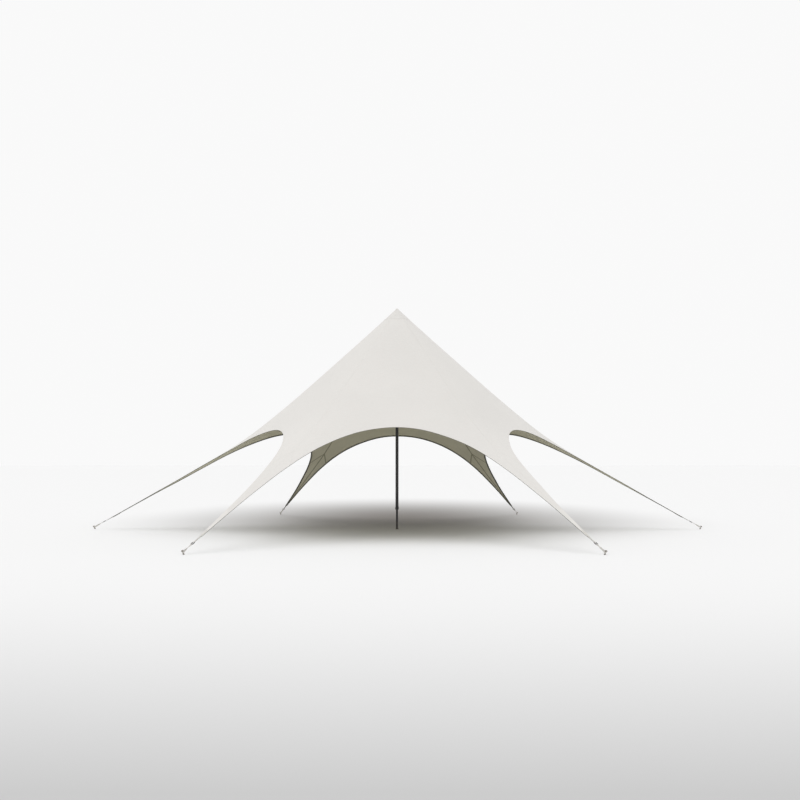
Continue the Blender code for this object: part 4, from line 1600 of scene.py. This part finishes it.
for name, solid, outer, bore in TUBES:
    low, high = heights_of(solid)
    outline = [(outer - CHAMFER, low), (outer, low + CHAMFER), (outer, low + 4 * CHAMFER),
               (outer, high - 4 * CHAMFER), (outer, high - CHAMFER), (outer - CHAMFER, high),
               (bore + CHAMFER / 3, high), (bore, high - CHAMFER), (bore, low + CHAMFER),
               (bore + CHAMFER / 3, low)]
    pole_piece(name, outline, paint_look, solid)
tube_top = heights_of("pole_upper")[1]
print(f"thick tube up to {tube_top:.3f} m")

# %% [markdown]
# The collar is cast. Two grooves run round it, a spigot reaches up into the thick tube, and a
# screw with a hollow head clamps the thin one.

# %% Collar
COLLAR_RADIUS = 0.0340
COLLAR_BORE = 0.0214
COLLAR_CHAMFER = 0.0018
SHOULDER = 0.4397                # height where the thick tube stands on it
SPIGOT_RADIUS = 0.0272
SPIGOT_CHAMFER = 0.0010
GROOVES = (0.3960, 0.4275)
GROOVE_HALF_WIDTH = 0.0016
GROOVE_DEPTH = 0.0014
SCREW_SIDES = 24
SCREW_OUTLINE = ((0.0, -0.004), (0.0052, -0.004), (0.0052, 0.0006), (0.0046, 0.0012), (0.0026, 0.0012),
                 (0.0024, -0.0006), (0.0, -0.0006))
SCREW_BEARING = math.radians(-70)

low, high = heights_of("pole_collar")
outline = [(COLLAR_BORE, low), (COLLAR_RADIUS - COLLAR_CHAMFER, low), (COLLAR_RADIUS, low + COLLAR_CHAMFER)]
for groove in GROOVES:
    outline += [(COLLAR_RADIUS - depth * GROOVE_DEPTH, groove + place * GROOVE_HALF_WIDTH)
                for place, depth in ((-1, 0), (-0.5, 1), (0.5, 1), (1, 0))]
outline += [(COLLAR_RADIUS, SHOULDER - COLLAR_CHAMFER), (COLLAR_RADIUS - COLLAR_CHAMFER, SHOULDER),
            (SPIGOT_RADIUS, SHOULDER), (SPIGOT_RADIUS, high - SPIGOT_CHAMFER),
            (SPIGOT_RADIUS - 0.8 * SPIGOT_CHAMFER, high), (COLLAR_BORE, high)]
pole_piece("splice_collar", outline, casting_look, "pole_collar")

screw = turned(SCREW_OUTLINE, SCREW_SIDES)
aim = Matrix.Rotation(SCREW_BEARING, 4, "Z") @ Matrix.Rotation(math.radians(90), 4, "Y")
middle = Matrix.Translation((0, 0, sum(GROOVES) / 2))
outwards = Matrix.Translation((0, 0, COLLAR_RADIUS))
bmesh.ops.transform(screw, matrix=middle @ aim @ outwards, verts=screw.verts)
new_piece("collar_screw", screw, link_look)
print(f"collar {1000 * (high - low):.0f} mm high with {len(GROOVES)} grooves")

# %% [markdown]
# The pole's foot is a casting with a plug inside the thin tube, and it stands on a rubber sole
# with two fine grooves round it.

# %% Foot
# Radius and height above the ground
SOLE_OUTLINE = ((0.0, 0.0), (0.0282, 0.0), (0.0298, 0.0010), (0.0298, 0.0018), (0.0290, 0.0022),
                (0.0298, 0.0026), (0.0298, 0.0032), (0.0290, 0.0036), (0.0298, 0.0040), (0.0298, 0.0050),
                (0.0, 0.0050))
FOOT_OUTLINE = ((0.0, 0.0048), (0.0300, 0.0048), (0.0300, 0.0102), (0.0284, 0.0120), (0.0182, 0.0120),
                (0.0182, 0.0600), (0.0170, 0.0620), (0.0, 0.0620))
pole_piece("foot_sole", SOLE_OUTLINE, rubber_look)
pole_piece("foot_casting", FOOT_OUTLINE, casting_look, "pole_foot")
print(f"foot {2000 * FOOT_OUTLINE[1][0]:.0f} mm across")

# %% [markdown]
# ## Under the peak
#
# A cast cone on the pole's top spreads its push, so that the cloth isn't pierced. Seen from
# below it is a shell between a hub and a lip, with a plug inside the tube. Its upper face is
# sampled from the cloth above it, so the cloth lies on it all round, and not only at one
# height.

# %% Cone
HEAD_RADIUS = 0.110
HEAD_RINGS = (0.036, 0.055, 0.075, 0.094, 0.108)
HEAD_SIDES = 72
HEAD_SHELL = 0.0035
HEAD_LIP = ((0.0, 0.002), (0.0, 0.010), (0.001, 0.011), (0.004, 0.011))  # inwards and down
LIP_INSIDE = 0.0045
# Radius of the hub and of the plug below it, and height over the tube's top
HUB = ((0.036, 0.030), (0.034, 0.0), (0.0270, 0.0), (0.0270, -0.046), (0.0250, -0.048))
HUB_GAP = 0.0003                 # between the hub and the tube's top


def under_cloth(radius, angle, depth):
    """Point a depth below the sheet's middle surface, over a place given by radius and angle."""
    above = polar(radius, angle, PEAK_HEIGHT + 1)
    foot, normal, *_ = cloth_tree.ray_cast(above, DOWN)
    if foot is None:
        foot, normal, *_ = cloth_tree.find_nearest(above + DOWN)
    return foot - normal * depth


def ring_under(radius, depth, drop=0.0):
    """Ring of places under the cloth, lowered by a drop."""
    return [under_cloth(radius, angle, depth) + DOWN * drop for angle in around(HEAD_SIDES)]


def solid_of(rings):
    """Mesh with faces between rings of places and one face on each end."""
    mesh = bmesh.new()
    placed = [[mesh.verts.new(point) for point in ring] for ring in rings]
    bridge(mesh, placed)
    mesh.faces.new(placed[0])
    mesh.faces.new(placed[-1])
    return mesh


touching = CLOTH / 2 + LAYER_GAP
hub_base = tube_top + HUB_GAP
rings = [ring_under(radius, touching) for radius in HEAD_RINGS]
rings += [ring_under(HEAD_RADIUS - inwards, touching, drop) for inwards, drop in HEAD_LIP]
lower_radii = (HEAD_RADIUS - LIP_INSIDE, *HEAD_RINGS[-2:0:-1])
rings += [ring_under(radius, touching + HEAD_SHELL) for radius in lower_radii]
rings += [[polar(radius, angle, hub_base + rise) for angle in around(HEAD_SIDES)]
          for radius, rise in HUB]
head = solid_of(rings)
print(f"cone {2000 * HEAD_RADIUS:.0f} mm across")

# %% [markdown]
# Twelve ribs stiffen the cone's shell. Each follows the shell with its upper edge and runs
# straight from the hub to the lip with its lower one.

# %% Ribs
RIBS = 12
RIB_HALF_WIDTH = 0.0015
RIB_RADII = (0.036, 0.055, 0.075, 0.094, 0.107)
RIB_ABOVE_HUB = 0.004            # where it starts
RIB_AT_LIP = 0.008               # how high it still is there

for rib in range(RIBS):
    angle = math.tau * (rib + 0.5) / RIBS
    beside = Vector((-math.sin(angle), math.cos(angle), 0)) * RIB_HALF_WIDTH
    tops = [under_cloth(radius, angle, touching + HEAD_SHELL / 2) for radius in RIB_RADII]
    ends = (hub_base + RIB_ABOVE_HUB, tops[-1].z - RIB_AT_LIP)
    lowest = np.interp(RIB_RADII, (RIB_RADII[0], RIB_RADII[-1]), ends)
    sections = []
    for top, height in zip(tops, lowest):
        foot = polar(top.xy.length, angle, height)
        sections.append([head.verts.new(point)
                         for point in (top - beside, top + beside, foot + beside, foot - beside)])
    skin_rings(head, sections)
bmesh.ops.recalc_face_normals(head, faces=head.faces)
pole_top = new_piece("spreader_cone", head, casting_look)
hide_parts("pole_head")
print(f"{RIBS} ribs under the cone")

# %% [markdown]
# ## The cap over the peak
#
# The gores leave a hole at the very top, so a cone of doubled cloth is sewn over it. It is made
# ring by ring from the sheet below it, has a thicker hem, swells slightly between its seams,
# and closes in a blunt tip. Its cloth is a little greyer than the canopy's.

# %% Peak cap
CAP_SIDES = 144
# Radius and share of the hem's extra thickness, then radius and share of the rise to the tip
CAP_PROFILE = ((0.262, 0.3), (0.259, 1.0), (0.236, 1.0), (0.2335, 0.0), (0.200, 0.0), (0.165, 0.0),
               (0.130, 0.0), (0.095, 0.0), (0.066, 0.0), (0.042, 0.0))
CAP_TIP = ((0.034, 0.34), (0.026, 0.60), (0.018, 0.78), (0.011, 0.90), (0.006, 0.965), (0.002, 0.995))
TIP_INSET = 0.0015               # how far the tip stays below the solid's
CAP_CLOTH = 0.0016
CAP_HEM = 0.0010                 # extra thickness of its turned hem
CAP_PUFF = 0.0012
CAP_COLOUR = (0.742, 0.724, 0.696, 1.0)

cap_radius, hem_inside, shoulder_radius = (CAP_PROFILE[k][0] for k in (0, 3, -1))
cap_low, cap_top = heights_of("peak_cap")
cap_top -= TIP_INSET


def cap_ring(radius, lift):
    """Ring of the cap over the sheet, lifted off it."""
    dome = CAP_PUFF * math.sin(math.pi * min(radius / hem_inside, 1.0))
    return [under_cloth(radius, angle, -lift - dome * math.sin(ARMS * angle / 2) ** 2)
            for angle in around(CAP_SIDES)]


def cap_skin(lift, hem):
    """Rings of one face of the cap, from its hem to its tip."""
    rings = [cap_ring(radius, lift + hem * share) for radius, share in CAP_PROFILE]
    shoulder = rings[-1]
    tip = cap_top - CAP_CLOTH + lift
    for radius, share in CAP_TIP:
        scale = radius / shoulder_radius
        rings.append([Vector((point.x * scale, point.y * scale, point.z + share * (tip - point.z)))
                      for point in shoulder])
    return rings


mesh = solid_of(cap_skin(touching, 0.0)[::-1] + cap_skin(touching + CAP_CLOTH, CAP_HEM))
finish_strip(mesh, {vert: vert.co.xy for vert in mesh.verts})
cap_look = cloth_material("cap_cloth", CAP_COLOUR, 0.64, 0.10, crumple=0.0004)
cap = new_piece("cap_cloth", mesh, cap_look)
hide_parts("peak_cap")
print(f"cap {2 * cap_radius:.2f} m across, tip at {cap_top:.3f} m")

# %% [markdown]
# Six seam bands run down the cap over the ridges, and two rows of stitches go round its hem.

# %% Seams and stitches of the cap
CAP_SEAM = (0.044, 0.2605)       # radii where each band starts and ends
CAP_SEAM_HALF_WIDTHS = (0.008, 0.009)
CAP_SEAM_STEPS = 12
CAP_SEAM_HEIGHT = 0.0004
HEM_ROWS = (0.2555, 0.2400)

hem_height = touching + CAP_CLOTH + CAP_HEM
radii = np.linspace(*CAP_SEAM, CAP_SEAM_STEPS)
reaches = [(-reach, reach) for reach in np.linspace(*CAP_SEAM_HALF_WIDTHS, CAP_SEAM_STEPS)]
for arm in range(ARMS):
    stations = [(ridge_point(arm, radius), across_arm(arm)) for radius in radii]
    strip = (stations, reaches, hem_height - CLOTH / 2 + CAP_SEAM_HEIGHT)
    strip_piece(f"cap_seam_{arm + 1}", cap_look, [strip])
lines = []
for radius in HEM_ROWS:
    ring = [under_cloth(radius, angle, -hem_height) for angle in (*around(CAP_SIDES), math.tau)]
    lines.append([(point, cloth_tree.find_nearest(point)[1]) for point in ring])
stitch_piece("cap_stitches", lines)

# %% [markdown]
# Inside, a ring of olive tape backs the cloth round the cone, where all the ridge seams meet.

# %% Tape under the peak
PEAK_TAPE = (0.119, 0.185)       # its radii
PEAK_TAPE_HEIGHT = 0.0013
PEAK_TAPE_BORDER = 0.002
BORDER_HEIGHT = 0.0004

inner, outer = PEAK_TAPE
section = ((inner, BORDER_HEIGHT), (inner + PEAK_TAPE_BORDER, PEAK_TAPE_HEIGHT),
           (outer - PEAK_TAPE_BORDER, PEAK_TAPE_HEIGHT), (outer, BORDER_HEIGHT), (outer, -EMBED),
           (inner, -EMBED))
mesh = bmesh.new()
places = {}
rings = []
for angle in around(HEAD_SIDES):
    ring = []
    for radius, lift in section:
        ring.append(mesh.verts.new(under_cloth(radius, angle, CLOTH / 2 + lift)))
        places[ring[-1]] = (angle * (inner + outer) / 2, radius - (inner + outer) / 2)
    rings.append(ring)
skin_rings(mesh, rings, closed=True)
finish_strip(mesh, places)
new_piece("peak_tape", mesh, under_tape_look)
